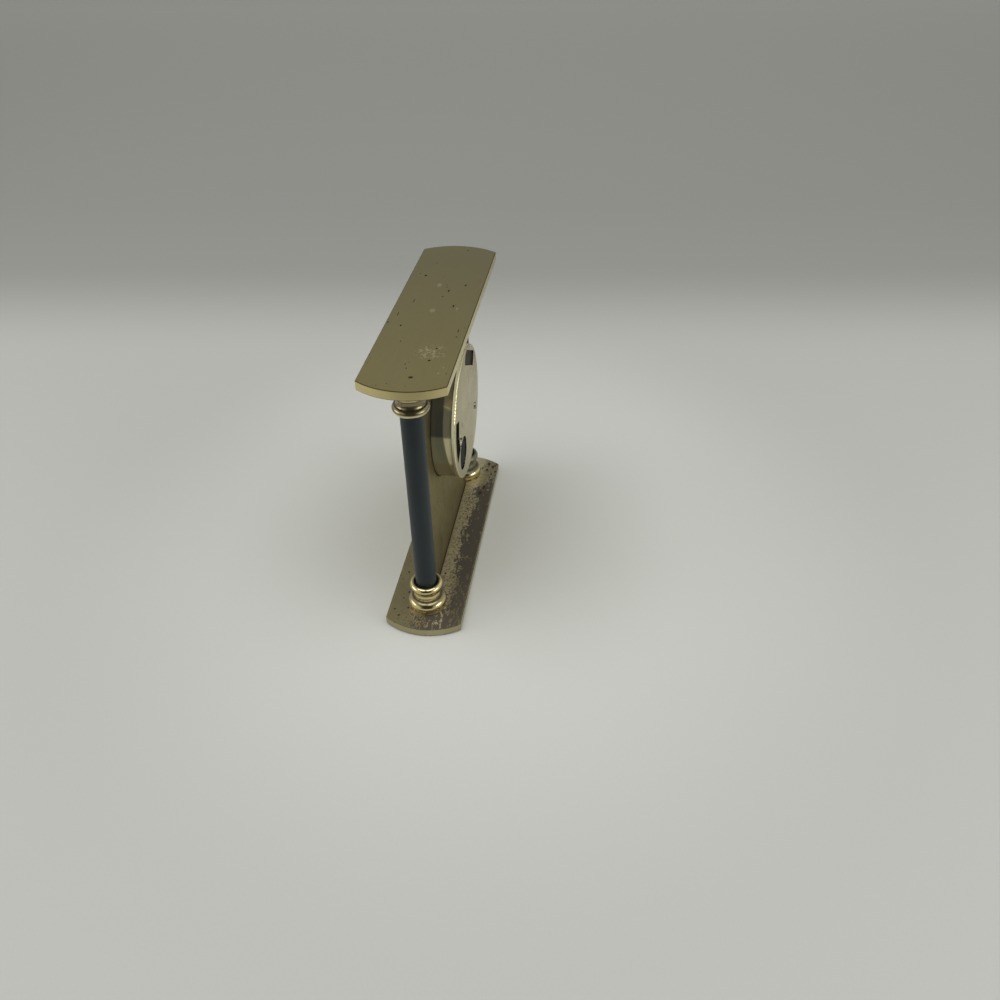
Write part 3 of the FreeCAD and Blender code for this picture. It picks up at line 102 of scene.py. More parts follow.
def makeLamps(rows):
    for name, row in rows.items():
        data = bpy.data.lights.new(name, "AREA")
        data.shape = "ELLIPSE"
        data.size, data.size_y = row["size"]
        data.energy = row["power"]
        turn = (Vector(row["place"]) - Vector(row["aim"])).to_track_quat("Z", "Y").to_matrix().to_4x4()
        addObject(name, data).matrix_world = Matrix.Translation(row["place"]) @ turn


def feedSockets(sockets, values):
    # A value is a link from another node, a colour or a plain value.
    for name, value in values.items():
        if isinstance(value, bpy.types.NodeSocket):
            value.id_data.links.new(value, sockets[name])
        elif sockets[name].type == "RGBA":
            sockets[name].default_value = (*value, 1)
        else:
            sockets[name].default_value = value


def addNode(tree, kind, **settings):
    made = tree.nodes.new(kind)
    for name, value in settings.items():
        setattr(made, name, value)
    return made


def joinNode(kind, inputs, **settings):
    # The new node goes where the first input that comes out of a node is.
    tree = next(value.id_data for value in inputs.values() if isinstance(value, bpy.types.NodeSocket))
    made = addNode(tree, kind, **settings)
    feedSockets(made.inputs, inputs)
    return made


def mathNode(operation, first, second=0.0, clamp=False):
    inputs = {0: first, 1: second}
    return joinNode("ShaderNodeMath", inputs, operation=operation, use_clamp=clamp).outputs[0]


def plus(first, second, clamp=False):
    return mathNode("ADD", first, second, clamp)


def minus(first, second, clamp=False):
    return mathNode("SUBTRACT", first, second, clamp)


def absolute(value):
    return mathNode("ABSOLUTE", value)


def chainNodes(operation, values):
    total = values[0]
    for value in values[1:]:
        total = mathNode(operation, total, value)
    return total


def times(*factors):
    return chainNodes("MULTIPLY", factors)


def most(*values):
    return chainNodes("MAXIMUM", values)


def vectorNode(operation, first, second=(0, 0, 0)):
    made = joinNode("ShaderNodeVectorMath", {0: first, 1: second}, operation=operation)
    return made.outputs["Value" if operation in ("LENGTH", "DOT_PRODUCT") else "Vector"]


def rampNode(value, low, high, start=0.0, stop=1.0, shape="LINEAR"):
    return joinNode("ShaderNodeMapRange",
                    {"Value": value, "From Min": low, "From Max": high, "To Min": start, "To Max": stop},
                    clamp=True, interpolation_type=shape).outputs[0]


def bandNode(value, start, full, stop, fade):
    # Full between two levels, with a soft edge at each.
    return times(rampNode(value, start, full), rampNode(value, stop, fade))


def mixColour(factor, first, second, blend="MIX"):
    inputs = {0: factor, 6: first, 7: second}
    return joinNode("ShaderNodeMix", inputs, data_type="RGBA", blend_type=blend).outputs[2]


def mixValue(factor, first, second):
    return joinNode("ShaderNodeMix", {0: factor, 2: first, 3: second}, data_type="FLOAT").outputs[0]


def noiseNode(place, scale, detail=2.0, stretch=None):
    if stretch:
        place = vectorNode("MULTIPLY", place, stretch)
    return joinNode("ShaderNodeTexNoise", {"Vector": place, "Scale": scale, "Detail": detail}).outputs[0]


def splitPlace(place):
    made = joinNode("ShaderNodeSeparateXYZ", {0: place})
    return made.outputs["X"], made.outputs["Y"], made.outputs["Z"]


def splitMillimetres(place):
    return splitPlace(vectorNode("MULTIPLY", place, (1 / mm, 1 / mm, 1 / mm)))


def facing(place):
    return addNode(place.id_data, "ShaderNodeNewGeometry").outputs["Normal"]


def inMetres(row):
    return [value * mm for value in row]


def newMaterial(name):
    made = bpy.data.materials.new(name)
    made.use_nodes = True
    place = addNode(made.node_tree, "ShaderNodeTexCoord").outputs["Object"]
    return made, place, made.node_tree.nodes["Principled BSDF"].inputs


def makeRoom(values):
    scenery = bpy.data.worlds.new("world")
    scenery.use_nodes = True
    tree = scenery.node_tree
    toward = addNode(tree, "ShaderNodeTexCoord").outputs["Generated"]
    ahead = vectorNode("DOT_PRODUCT", toward, values["ahead"])
    across = absolute(vectorNode("DOT_PRODUCT", toward, values["across"]))
    shade = times(rampNode(ahead, *values["darkAhead"], shape="SMOOTHSTEP"),
                  rampNode(across, *values["darkAcross"], shape="SMOOTHSTEP"),
                  rampNode(splitPlace(toward)[2], *values["darkHeight"]))
    colour = mixColour(rampNode(across, *values["sideEdge"], shape="SMOOTHSTEP"),
                       values["walls"], values["sides"])
    colour = mixColour(shade, colour, values["dark"])
    seen = addNode(tree, "ShaderNodeLightPath").outputs["Is Camera Ray"]
    feedSockets(tree.nodes["Background"].inputs, {"Color": mixColour(seen, colour, values["backdrop"])})
    bpy.context.scene.world = scenery


floor = {
    "size": 4.0, "away": (-0.993, -0.118, 0.0),
    "near": (0.578, 0.581, 0.550), "centre": (-0.015, 0.02, 0.0), "paintedGlow": (0.24, 0.09), "paintedGlowLevel": 1.19,
    "bend": (0.20, 0.36), "bendShade": 0.69, "far": (0.50, 1.65), "farShade": 1.48,
    "mirrored": (-0.25, -0.33), "mirroredShade": 0.20,      # dark ground before the clock, in its metal only
    "grain": 900.0, "grainShade": (0.3, 0.7, 0.985, 1.0),
    "shader": {"Roughness": 0.9, "Specular IOR Level": 0.1},
}


def makeFloor(values):
    bm = bmesh.new()
    bmesh.ops.create_grid(bm, x_segments=1, y_segments=1, size=values["size"])
    data = bpy.data.meshes.new("floor")
    bm.to_mesh(data)
    bm.free()
    made = addObject("floor", data)
    material, place, shader = newMaterial("floorPaper")
    away = vectorNode("DOT_PRODUCT", place, values["away"])
    bend = rampNode(away, *values["bend"], 1.0, values["bendShade"], "SMOOTHSTEP")
    far = rampNode(away, *values["far"], 1.0, values["farShade"])
    grain = rampNode(noiseNode(place, values["grain"]), *values["grainShade"])
    before = rampNode(away, *values["mirrored"], 1.0, values["mirroredShade"], "SMOOTHSTEP")
    glossy = addNode(place.id_data, "ShaderNodeLightPath").outputs["Is Glossy Ray"]
    # Painted light: the floor is made brighter round the clock, which thins the clock's shadow on it.
    apart = vectorNode("LENGTH", vectorNode("SUBTRACT", place, values["centre"]))
    paintedGlow = rampNode(apart, *values["paintedGlow"], 1.0, values["paintedGlowLevel"], "SMOOTHSTEP")
    shade = times(bend, far, grain, mixValue(glossy, 1.0, before), paintedGlow)
    feedSockets(shader, {"Base Color": mixColour(1.0, values["near"], shade, "MULTIPLY"), **values["shader"]})
    data.materials.append(material)


bpy.context.scene.view_settings.view_transform = "Standard"
makeCamera(camera)
makeLamps(lamps)
makeRoom(room)
makeFloor(floor)
print("camera, lamps, room and floor are in place")


# Effects that several finishes share: a Cut is where a mask starts and where it is full.
effects = {
    "wideGrain": (1.0, 4.0), "fineGrain": (3.7, 2.0), "wideShare": 0.6, "fineShare": 0.4,
    "lineCut": (0.3, 0.7), "turningDetail": 3.0, "blotchDetail": 5.0, "blotchCut": (0.36, 0.64),
    "spotNoise": (1300.0, 2.0), "spotCut": (1.15, 0.75), "smallestPit": 0.4, "pitCut": (1.2, 0.8),
    "raggedNoises": ((75.0, 0.9), (260.0, 0.9), (900.0, 0.75), (2400.0, 0.5)),
    "edgeBand": (0.12, 0.35, 0.985, 0.93), "sideCut": (0.3, 0.1),
}


def newGroup(name, vectors, floats=""):
    tree = bpy.data.node_groups.new(name, "ShaderNodeTree")
    for kind, labels in (("Vector", vectors), ("Float", floats)):
        for label in labels.split():
            tree.interface.new_socket(label, in_out="INPUT", socket_type="NodeSocket" + kind)
    tree.interface.new_socket("Value", in_out="OUTPUT", socket_type="NodeSocketFloat")
    sockets = tree.nodes.new("NodeGroupInput").outputs
    return tree, sockets, tree.nodes.new("NodeGroupOutput").inputs[0]


def useGroup(group, **inputs):
    return joinNode("ShaderNodeGroup", inputs, node_tree=group).outputs[0]


def makeGrain(values):
    # Long fine lines, as a brush or a tool leaves them.
    tree, given, result = newGroup("grain", "place stretch")
    along = vectorNode("MULTIPLY", given["place"], given["stretch"])
    wide = times(noiseNode(along, *values["wideGrain"]), values["wideShare"])
    fine = times(noiseNode(along, *values["fineGrain"]), values["fineShare"])
    tree.links.new(plus(wide, fine), result)
    return tree


def makeTurning(values):
    # Rings left by a lathe round an axis through centre.
    tree, given, result = newGroup("turning", "place centre axis", "scale")
    local = vectorNode("SUBTRACT", given["place"], given["centre"])
    height = vectorNode("DOT_PRODUCT", local, given["axis"])
    lifted = joinNode("ShaderNodeVectorMath", {0: given["axis"], "Scale": height}, operation="SCALE")
    radius = vectorNode("LENGTH", vectorNode("SUBTRACT", local, lifted.outputs["Vector"]))
    profile = joinNode("ShaderNodeCombineXYZ", {0: radius, 1: height}).outputs[0]
    tree.links.new(noiseNode(profile, given["scale"], values["turningDetail"]), result)
    return tree


def makeBlotch(values):
    # Soft uneven patches of handling and age.
    tree, given, result = newGroup("blotch", "place", "scale")
    cloud = noiseNode(given["place"], given["scale"], values["blotchDetail"])
    tree.links.new(rampNode(cloud, *values["blotchCut"]), result)
    return tree


def makeSpot(values):
    # One mark with a ragged outline.
    tree, given, result = newGroup("spot", "place centre radii", "ragged")
    local = vectorNode("DIVIDE", vectorNode("SUBTRACT", given["place"], given["centre"]), given["radii"])
    rough = minus(noiseNode(given["place"], *values["spotNoise"]), 0.5)
    reach = plus(vectorNode("LENGTH", local), times(rough, given["ragged"]))
    tree.links.new(rampNode(reach, *values["spotCut"]), result)
    return tree


def makePits(values):
    # Scattered small pits: share is how many of the cells hold one, radius is in cells.
    tree, given, result = newGroup("pits", "place", "scale share radius")
    cell = joinNode("ShaderNodeTexVoronoi", {"Vector": given["place"], "Scale": given["scale"]})
    chance = splitPlace(cell.outputs["Color"])
    held = mathNode("LESS_THAN", chance[0], given["share"])
    radius = times(given["radius"], plus(chance[1], values["smallestPit"]))
    inside = rampNode(mathNode("DIVIDE", cell.outputs["Distance"], radius), *values["pitCut"])
    tree.links.new(times(inside, held), result)
    return tree


def makeRagged(values):
    # A border with flaky outline: field is the depth inside it, in millimetres.
    tree, given, result = newGroup("ragged", "place", "field reach width")
    total = given["field"]
    for scale, share in values["raggedNoises"]:
        swing = minus(noiseNode(given["place"], scale, 1.0), 0.5)
        total = plus(total, times(swing, share, given["reach"]))
    tree.links.new(rampNode(total, times(given["width"], -1.0), given["width"]), result)
    return tree


def makeEdgeLine(values):
    # Painted shade: a dark line along a rounded edge, which dims the light it would catch; axis is the way
    # the flat face looks.
    tree, given, result = newGroup("edgeShadeLine", "normal axis")
    lean = absolute(vectorNode("DOT_PRODUCT", given["normal"], given["axis"]))
    tree.links.new(bandNode(lean, *values["edgeBand"]), result)
    return tree


grain, turning, blotch = makeGrain(effects), makeTurning(effects), makeBlotch(effects)
spot, pits = makeSpot(effects), makePits(effects)
ragged, edgeShadeLine = makeRagged(effects), makeEdgeLine(effects)
upright = (0.0, 0.0, 1.0)
turnedRound = (0.0, 1.0, 0.0)                   # the way that the drum's axis runs
middle = (drumAxis.x, 0.0, drumAxis.z)


def coat(colour, roughness=None, **more):
    # The look of a coat of wear; metallic, depth in millimetres and share may be named as well.
    return {"colour": colour, "roughness": roughness, **more}


# A finish is a base of two colours in blotches, lines that vary its roughness and relief, and then
# coats of wear. A wear function gives the mask of each coat in turn, and the settings give its look.
def makeFinish(values, wear=None):
    material, place, shader = newMaterial(values["name"])
    if isinstance(values["lines"], float):
        lines = useGroup(turning, place=place, centre=middle, axis=turnedRound, scale=values["lines"])
    else:
        lines = useGroup(grain, place=place, stretch=values["lines"])
    patch = useGroup(blotch, place=place, scale=values["blotch"])
    contrast = values["contrast"]
    shade = rampNode(lines, *effects["lineCut"], 1.0 - contrast, 1.0)
    colour = mixColour(1.0, mixColour(patch, values["colour"], values["second"]), shade, "MULTIPLY")
    rough = plus(rampNode(patch, 0.0, 1.0, *values["roughness"]),
                 rampNode(lines, *effects["lineCut"], -contrast / 3, contrast / 3), clamp=True)
    metal = values.get("metallic", 1.0)
    height = times(lines, values["relief"])
    for title, mask in (wear(place, values) if wear else {}).items():
        look = values["coats"][title]
        if "share" in look:
            mask = times(mask, look["share"])
        colour = mixColour(mask, colour, look["colour"])
        if look["roughness"] is not None:
            rough = mixValue(mask, rough, look["roughness"])
        if "metallic" in look:
            metal = mixValue(mask, metal, look["metallic"])
        if "depth" in look:
            height = minus(height, times(mask, look["depth"]))
    normal = joinNode("ShaderNodeBump", {"Height": height, "Strength": 1.0, "Distance": mm}).outputs[0]
    feedSockets(shader, {"Base Color": colour, "Roughness": rough, "Metallic": metal, "Normal": normal})
    feedSockets(shader, values.get("shader", {}))
    return material


def noiseMask(place, row):
    # A row is the noise's scale and detail, where the mask starts and is full, and any stretch.
    scale, detail, low, high, *stretch = row
    return rampNode(noiseNode(place, scale, detail, *stretch), low, high)


def pitMask(place, row):
    # A row is the number of cells to a metre, the share that hold a pit and its radius in cells.
    scale, share, radius = row
    return useGroup(pits, place=place, scale=scale, share=share, radius=radius)


def spotMasks(place, rows, level, rough=0.9):
    # The strongest of several marks on a level face; a row is x, y and two radii in millimetres.
    total = 0.0
    for x, y, wide, deep in rows:
        mask = useGroup(spot, place=place, centre=(x * mm, y * mm, level),
                        radii=(wide * mm, deep * mm, 1.0), ragged=rough)
        total = most(mask, total)
    return total


def slantMasks(place, rows, rough):
    # The same on the drum's cover: x and z from its axis, two radii and the slant in degrees.
    total = 0.0
    for x, z, long, thin, slant in rows:
        centre = (drumAxis.x + x * mm, 0.0, drumAxis.z + z * mm)
        turn = {"Vector": place, "Center": centre, "Angle": math.radians(slant)}
        turned = joinNode("ShaderNodeVectorRotate", turn, rotation_type="Y_AXIS").outputs[0]
        mask = useGroup(spot, place=turned, centre=centre, radii=(long * mm, 1.0, thin * mm), ragged=rough)
        total = most(mask, total)
    return total


def sideways(place):
    # The side faces of a plate, as against its level ones.
    return rampNode(absolute(vectorNode("DOT_PRODUCT", facing(place), upright)), *effects["sideCut"])


# Painted shade along the rounded edges of a piece.
def edgeDirt(place, axis):
    return useGroup(edgeShadeLine, normal=facing(place), axis=axis)


def fromDrumAxis(place):
    flat = vectorNode("MULTIPLY", vectorNode("SUBTRACT", place, middle), (1, 0, 1))
    return vectorNode("LENGTH", flat)


def heightAbove(place, level):
    return mathNode("DIVIDE", minus(splitPlace(place)[2], level), mm)


topPlate = {
    "name": "topPlateBrass", "colour": (0.50, 0.42, 0.198), "second": (0.46, 0.392, 0.195), "blotch": 45.0,
    "lines": (60.0, 2600.0, 900.0), "contrast": 0.10, "relief": 0.0010, "roughness": (0.34, 0.42),
    "pits": [
        (59.1, 2.8, 0.85, 1.05), (45.5, 7.2, 0.7, 0.6), (-33.1, -10.6, 0.9, 0.65), (-24.5, 9.8, 1.1, 0.4),
        (-2.9, 8.0, 1.3, 0.4), (-18.0, 3.1, 1.5, 0.4), (25.0, 14.4, 0.5, 0.4), (15.2, -17.0, 0.5, 0.45),
        (31.4, -7.7, 0.8, 0.22), (52.5, -0.5, 0.4, 0.35), (64.8, -5.3, 0.35, 0.3), (-6.2, -10.3, 2.2, 0.2),
        (7.2, -14.4, 1.8, 0.2), (19.5, 14.2, 1.6, 0.22), (35.5, 8.2, 0.6, 0.35), (17.5, -10.8, 0.8, 0.4),
        (65.6, 2.2, 0.3, 0.25), (66.4, -9.0, 0.35, 0.25), (49.4, -1.6, 0.9, 0.2), (-35.2, -13.6, 0.5, 0.3)],
    "pale": [(-23.5, -2.3, 1.9, 1.1), (2.3, -0.3, 1.9, 1.2), (50.4, 13.9, 0.6, 0.5), (54.8, 12.7, 0.6, 0.5),
             (-0.6, 10.0, 1.4, 0.6)],
    "worn": (38.6, 6.4, 5.0, 6.2), "wornRagged": 1.6, "copper": (-29.3, 15.6, 2.4, 1.1),
    "crumbs": (700.0, 3.0, 0.52, 0.60), "specks": (900.0, 0.3, 0.25), "dust": (420.0, 0.05, 0.16),
    "far": (55.0, -45.0, 0.0, 0.75), "under": (0.5, 0.1),
    "coats": {
        "far": coat((0.33, 0.29, 0.16)),
        "side": coat((0.70, 0.595, 0.30), 0.28),
        # Painted shade: the underside of the plate is darkened.
        "under": coat((0.13, 0.105, 0.05), 0.4),
        # Painted shade: a dark line along the plate's rounded edges.
        "edge": coat((0.07, 0.055, 0.02), 0.6),
        "pale": coat((0.68, 0.62, 0.42), 0.5, share=0.45),
        "flakes": coat((0.68, 0.62, 0.42), 0.5, depth=0.01, share=0.8),
        "copper": coat((0.40, 0.25, 0.14), 0.5, share=0.6),
        "pits": coat((0.040, 0.030, 0.012), 0.6, metallic=0.85, depth=0.05),
    },
}


def topPlateWear(place, values):
    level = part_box("top_plate")[1].z
    worn = spotMasks(place, [values["worn"]], level, values["wornRagged"])
    specks = times(worn, pitMask(place, values["specks"]))
    dust = pitMask(place, values["dust"])
    x, y, z = splitMillimetres(place)
    return {
        "far": rampNode(x, *values["far"]),
        "side": sideways(place),
        # Painted shade on the underside of the plate.
        "under": rampNode(minus(z, ceiling / mm), *values["under"]),
        "edge": edgeDirt(place, upright),
        "pale": spotMasks(place, values["pale"], level),
        "flakes": times(worn, noiseMask(place, values["crumbs"])),
        "copper": spotMasks(place, [values["copper"]], level),
        "pits": most(spotMasks(place, values["pits"], level), specks, dust),
    }


darkPit = coat((0.050, 0.038, 0.018), 0.6, metallic=0.8, depth=0.02)
basePlate = {
    "name": "basePlateBrass", "colour": (0.44, 0.38, 0.215), "second": (0.36, 0.315, 0.19), "blotch": 60.0,
    "lines": (60.0, 2400.0, 900.0), "contrast": 0.14, "relief": 0.0012, "roughness": (0.36, 0.46),
    # The tarnish lies behind a line across y, which moves off at the far end and in at the near one.
    "farFade": (-36.0, -47.0, 9.5, 17.5), "nearWrap": (51.0, 60.0, 0.0, -11.0), "clearRim": (17.7, 17.1),
    "flow": (0.6, 1.0, 1.0), "reach": 15.0, "tornWidth": 0.25, "rimWidth": 0.35, "rimShift": 0.55,
    "loose": (1.0, 4.0, 0.54, 0.58, (230.0, 900.0, 600.0)), "looseEnd": (38.0, 54.0),
    "few": (420.0, 3.0, 0.60, 0.64, (0.6, 1.0, 1.0)),
    "crumbs": (1200.0, 2.0, 0.52, 0.58), "crumbShare": (-13.0, -1.0, 0.12, 0.85),
    "freckles": (900.0, 0.26), "freckleShare": (-9.0, 1.0, 0.12, 0.75), "freckleDark": 0.85,
    "pinholes": (240.0, 0.10, 0.12), "above": (-0.6, -0.3), "behind": (2.0, 2.6, 12.0, 9.0),
    "seam": (2.25, 1.95), "seamEnd": (43.1, 42.8),
    "dots": [
        (32.6, -13.8, 0.6, 0.5), (31.3, 4.5, 0.7, 0.5), (46.6, -10.6, 0.8, 0.5), (56.9, -8.8, 0.7, 0.5),
        (58.5, -15.0, 0.5, 0.5), (62.3, -12.2, 0.6, 0.6), (64.2, -1.5, 0.6, 0.5), (50.8, -12.4, 0.4, 0.4),
        (36.4, -9.2, 0.4, 0.3), (61.0, -6.4, 0.4, 0.3)],
    "patches": [
        (-63.4, 12.4, 1.5, 0.8), (-60.7, 15.1, 1.6, 0.7), (-61.8, 16.2, 1.0, 0.5), (-57.4, 12.1, 1.3, 0.6),
        (-56.1, 17.0, 1.2, 0.5), (-53.8, 15.0, 1.0, 0.5), (-41.2, 12.8, 1.6, 0.7), (-35.5, 11.4, 1.8, 0.8),
        (-48.0, 15.6, 1.0, 0.5), (-58.9, 9.4, 0.9, 0.6)],
    "patchRagged": 2.2,
    "coats": {
        # Painted light: a paler strip of the plate just behind the panel, lifting the shade there.
        "behind": coat((0.50, 0.445, 0.285), metallic=0.6),
        "side": coat((0.39, 0.35, 0.20), 0.26),
        # Painted shade: a dark line along the plate's rounded edges.
        "line": coat((0.12, 0.10, 0.05), 0.6, share=0.9),
        "rim": coat((0.50, 0.46, 0.31), 0.5, share=0.55),
        "crumbs": coat((0.16, 0.135, 0.085), 0.55, metallic=0.8),
        "freckles": darkPit,
        "tarnish": coat((0.082, 0.069, 0.052), 0.62, metallic=0.25, depth=0.03),
        "marks": darkPit,
    },
}


def basePlateWear(place, values):
    x, y, z = splitMillimetres(place)
    field = minus(y, plus(rampNode(x, *values["farFade"]), rampNode(x, *values["nearWrap"])))
    long = vectorNode("MULTIPLY", place, values["flow"])
    torn = useGroup(ragged, place=long, field=field, reach=values["reach"], width=values["tornWidth"])
    wide = useGroup(ragged, place=long, field=plus(field, values["rimShift"]),
                    reach=values["reach"], width=values["rimWidth"])
    inRim = rampNode(y, *values["clearRim"])
    loose = times(noiseMask(place, values["loose"]), rampNode(x, *values["looseEnd"]))
    missing = minus(1.0, most(loose, noiseMask(place, values["few"])))
    crumbled = times(noiseMask(place, values["crumbs"]), rampNode(field, *values["crumbShare"]))
    scale, radius = values["freckles"]
    freckles = pitMask(place, (scale, rampNode(field, *values["freckleShare"]), radius))
    freckles = most(times(freckles, values["freckleDark"]), pitMask(place, values["pinholes"]))
    marks = most(spotMasks(place, values["dots"], deck),
                 spotMasks(place, values["patches"], deck, values["patchRagged"]))
    joint = times(rampNode(absolute(y), *values["seam"]), rampNode(absolute(x), *values["seamEnd"]))
    above = rampNode(z, *(deck / mm + edge for edge in values["above"]))
    return {
        # Painted light on the strip behind the panel.
        "behind": bandNode(y, *values["behind"]),
        "side": sideways(place),
        "line": edgeDirt(place, upright),
        "rim": times(minus(wide, torn, clamp=True), inRim),
        "crumbs": times(crumbled, above),
        "freckles": times(freckles, above),
        "tarnish": times(torn, missing, inRim, above),
        "marks": most(times(marks, above), joint),
    }


panel = {
    "name": "panelBrass", "colour": (0.47, 0.42, 0.25), "second": (0.40, 0.355, 0.21), "blotch": 55.0,
    "lines": (2200.0, 900.0, 70.0), "contrast": 0.16, "relief": 0.0012, "roughness": (0.38, 0.46),
    "shader": {"Specular Tint": (0.45, 0.42, 0.36)},
    "strokes": (1.0, 2.0, 0.57, 0.61, (2300.0, 600.0, 330.0)), "crowd": (60.0, 2.0, 0.42, 0.60),
    "frontShare": 0.05, "footHigh": 9.0, "footShare": 0.7, "ring": (31.9, 31.5), "edgeShare": 0.7,
    "coats": {
        "foot": coat((0.19, 0.145, 0.115), 0.5),
        # Painted shade: a dark ring where the drum meets the panel, and dark lines along the panel's edges.
        "ring": coat((0.10, 0.085, 0.055), 0.6),
        "strokes": coat((0.10, 0.085, 0.055), 0.6, depth=0.02),
    },
}


def panelWear(place, values):
    x, y, z = splitPlace(place)
    rear = rampNode(y, 0.0, 1.0 * mm, values["frontShare"], 1.0)
    crowd = times(noiseMask(place, values["crowd"]), rear)
    # Painted shade round the foot of the drum.
    ring = rampNode(fromDrumAxis(place), *inMetres(values["ring"]))
    return {
        "foot": rampNode(z, deck + values["footHigh"] * mm, deck, 0.0, values["footShare"]),
        "ring": most(times(edgeDirt(place, turnedRound), values["edgeShare"]), ring),
        "strokes": times(noiseMask(place, values["strokes"]), crowd),
    }


# Heights are in millimetres from the plate that a foot or cap sits on; the mouth is the bore round
# the column, from its outer to its inner radius, and its darkness is painted shade.
ferrule = {
    "name": "turnedBrass", "colour": (0.70, 0.585, 0.31), "second": (0.62, 0.52, 0.28), "blotch": 160.0,
    "lines": (900.0, 900.0, 2600.0), "contrast": 0.04, "relief": 0.0002, "roughness": (0.035, 0.09),
    "grooves": (0.95, 6.75, 7.8, 11.4), "grooveReach": (0.45, 0.12),
    "dirt": (500.0, 3.0), "dirtShare": (0.35, 0.6, 0.35, 0.95), "specks": (500.0, 0.08, 0.14),
    "mouthRadii": (6.5, 5.9), "mouthHeights": (12.6, 13.4), "shoulder": (5.0, 5.7, 7.0, 6.6),
    "neck": (7.7, 8.3, 13.5, 13.0), "rim": (13.8, 14.2),
    "coats": {
        # Painted shade: a dark band on the shoulder that dims the lamps' highlight there.
        "shoulder": coat((0.20, 0.17, 0.10), 0.26, share=0.8),
        "mouthShade": coat((0.06, 0.045, 0.02), 0.4, metallic=0.6, share=0.85),
        "grooves": coat((0.06, 0.045, 0.02), 0.5, metallic=0.5),
        "specks": coat((0.06, 0.045, 0.02), 0.6),
        # Painted reflections on the caps: a dark neck and a pale rim.
        "neck": coat((0.15, 0.13, 0.08), 0.22, metallic=0.85, share=0.8),
        "rim": coat((0.88, 0.86, 0.76)),
    },
}


def ferruleWear(place, values):
    x, y, z = splitPlace(place)
    height = mathNode("MINIMUM", minus(z, deck), minus(ceiling, z))
    grooves = 0.0
    for level in values["grooves"]:
        apart = absolute(minus(height, level * mm))
        grooves = most(rampNode(apart, *inMetres(values["grooveReach"])), grooves)
    dirt = rampNode(noiseNode(place, *values["dirt"]), *values["dirtShare"])
    aside = minus(absolute(x), columnReach)
    apart = vectorNode("LENGTH", joinNode("ShaderNodeCombineXYZ", {0: aside, 1: y}).outputs[0])
    return {
        "shoulder": bandNode(height, *inMetres(values["shoulder"])),
        # Painted shade in the bore round the column.
        "mouthShade": times(rampNode(apart, *inMetres(values["mouthRadii"])),
                       rampNode(height, *inMetres(values["mouthHeights"]))),
        "grooves": times(grooves, dirt),
        "specks": pitMask(place, values["specks"]),
    }


def capWear(place, values):
    # Under the top plate the neck is darkened as a painted reflection of the plate's underside, and the rim
    # is made pale as a painted reflection of the floor.
    down = mathNode("DIVIDE", minus(ceiling, splitPlace(place)[2]), mm)
    return {**ferruleWear(place, values),
            "neck": bandNode(down, *values["neck"]), "rim": rampNode(down, *values["rim"])}


farFoot = {
    **ferrule, "name": "farFootBrass", "level": (5.4, 6.2), "mottled": (600.0, 3.0, 0.35, 0.65),
    "coats": {
        **ferrule["coats"],
        "dull": coat((0.15, 0.152, 0.105), 0.45, metallic=0.7, share=0.85),
        "dark": coat((0.045, 0.045, 0.028), 0.6, metallic=0.6, share=0.5),
    },
}


def farFootWear(place, values):
    # The neck and ring of this foot are dull and grey green.
    upper = rampNode(heightAbove(place, deck), *values["level"])
    return {**ferruleWear(place, values),
            "dull": upper, "dark": times(upper, noiseMask(place, values["mottled"]))}


lacquer = {
    "name": "columnLacquer", "colour": (0.011, 0.018, 0.021), "second": (0.014, 0.023, 0.027), "blotch": 90.0,
    "lines": (1300.0, 1300.0, 40.0), "contrast": 0.18, "relief": 0.0005, "roughness": (0.40, 0.48),
    "metallic": 0.0, "shader": {"Specular IOR Level": 0.35},
    "ends": (6.0, 2.5), "rubbed": (700.0, 3.0, 0.5, 0.7), "chips": (260.0, 0.04, 0.10),
    "coats": {"rubbed": coat((0.05, 0.055, 0.05), 0.5)},
}


def lacquerWear(place, values):
    z = splitPlace(place)[2]
    low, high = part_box("column_left")
    ends = mathNode("MINIMUM", minus(z, low.z), minus(high.z, z))
    rubbed = times(rampNode(ends, *inMetres(values["ends"])), noiseMask(place, values["rubbed"]))
    return {"rubbed": most(rubbed, pitMask(place, values["chips"]))}


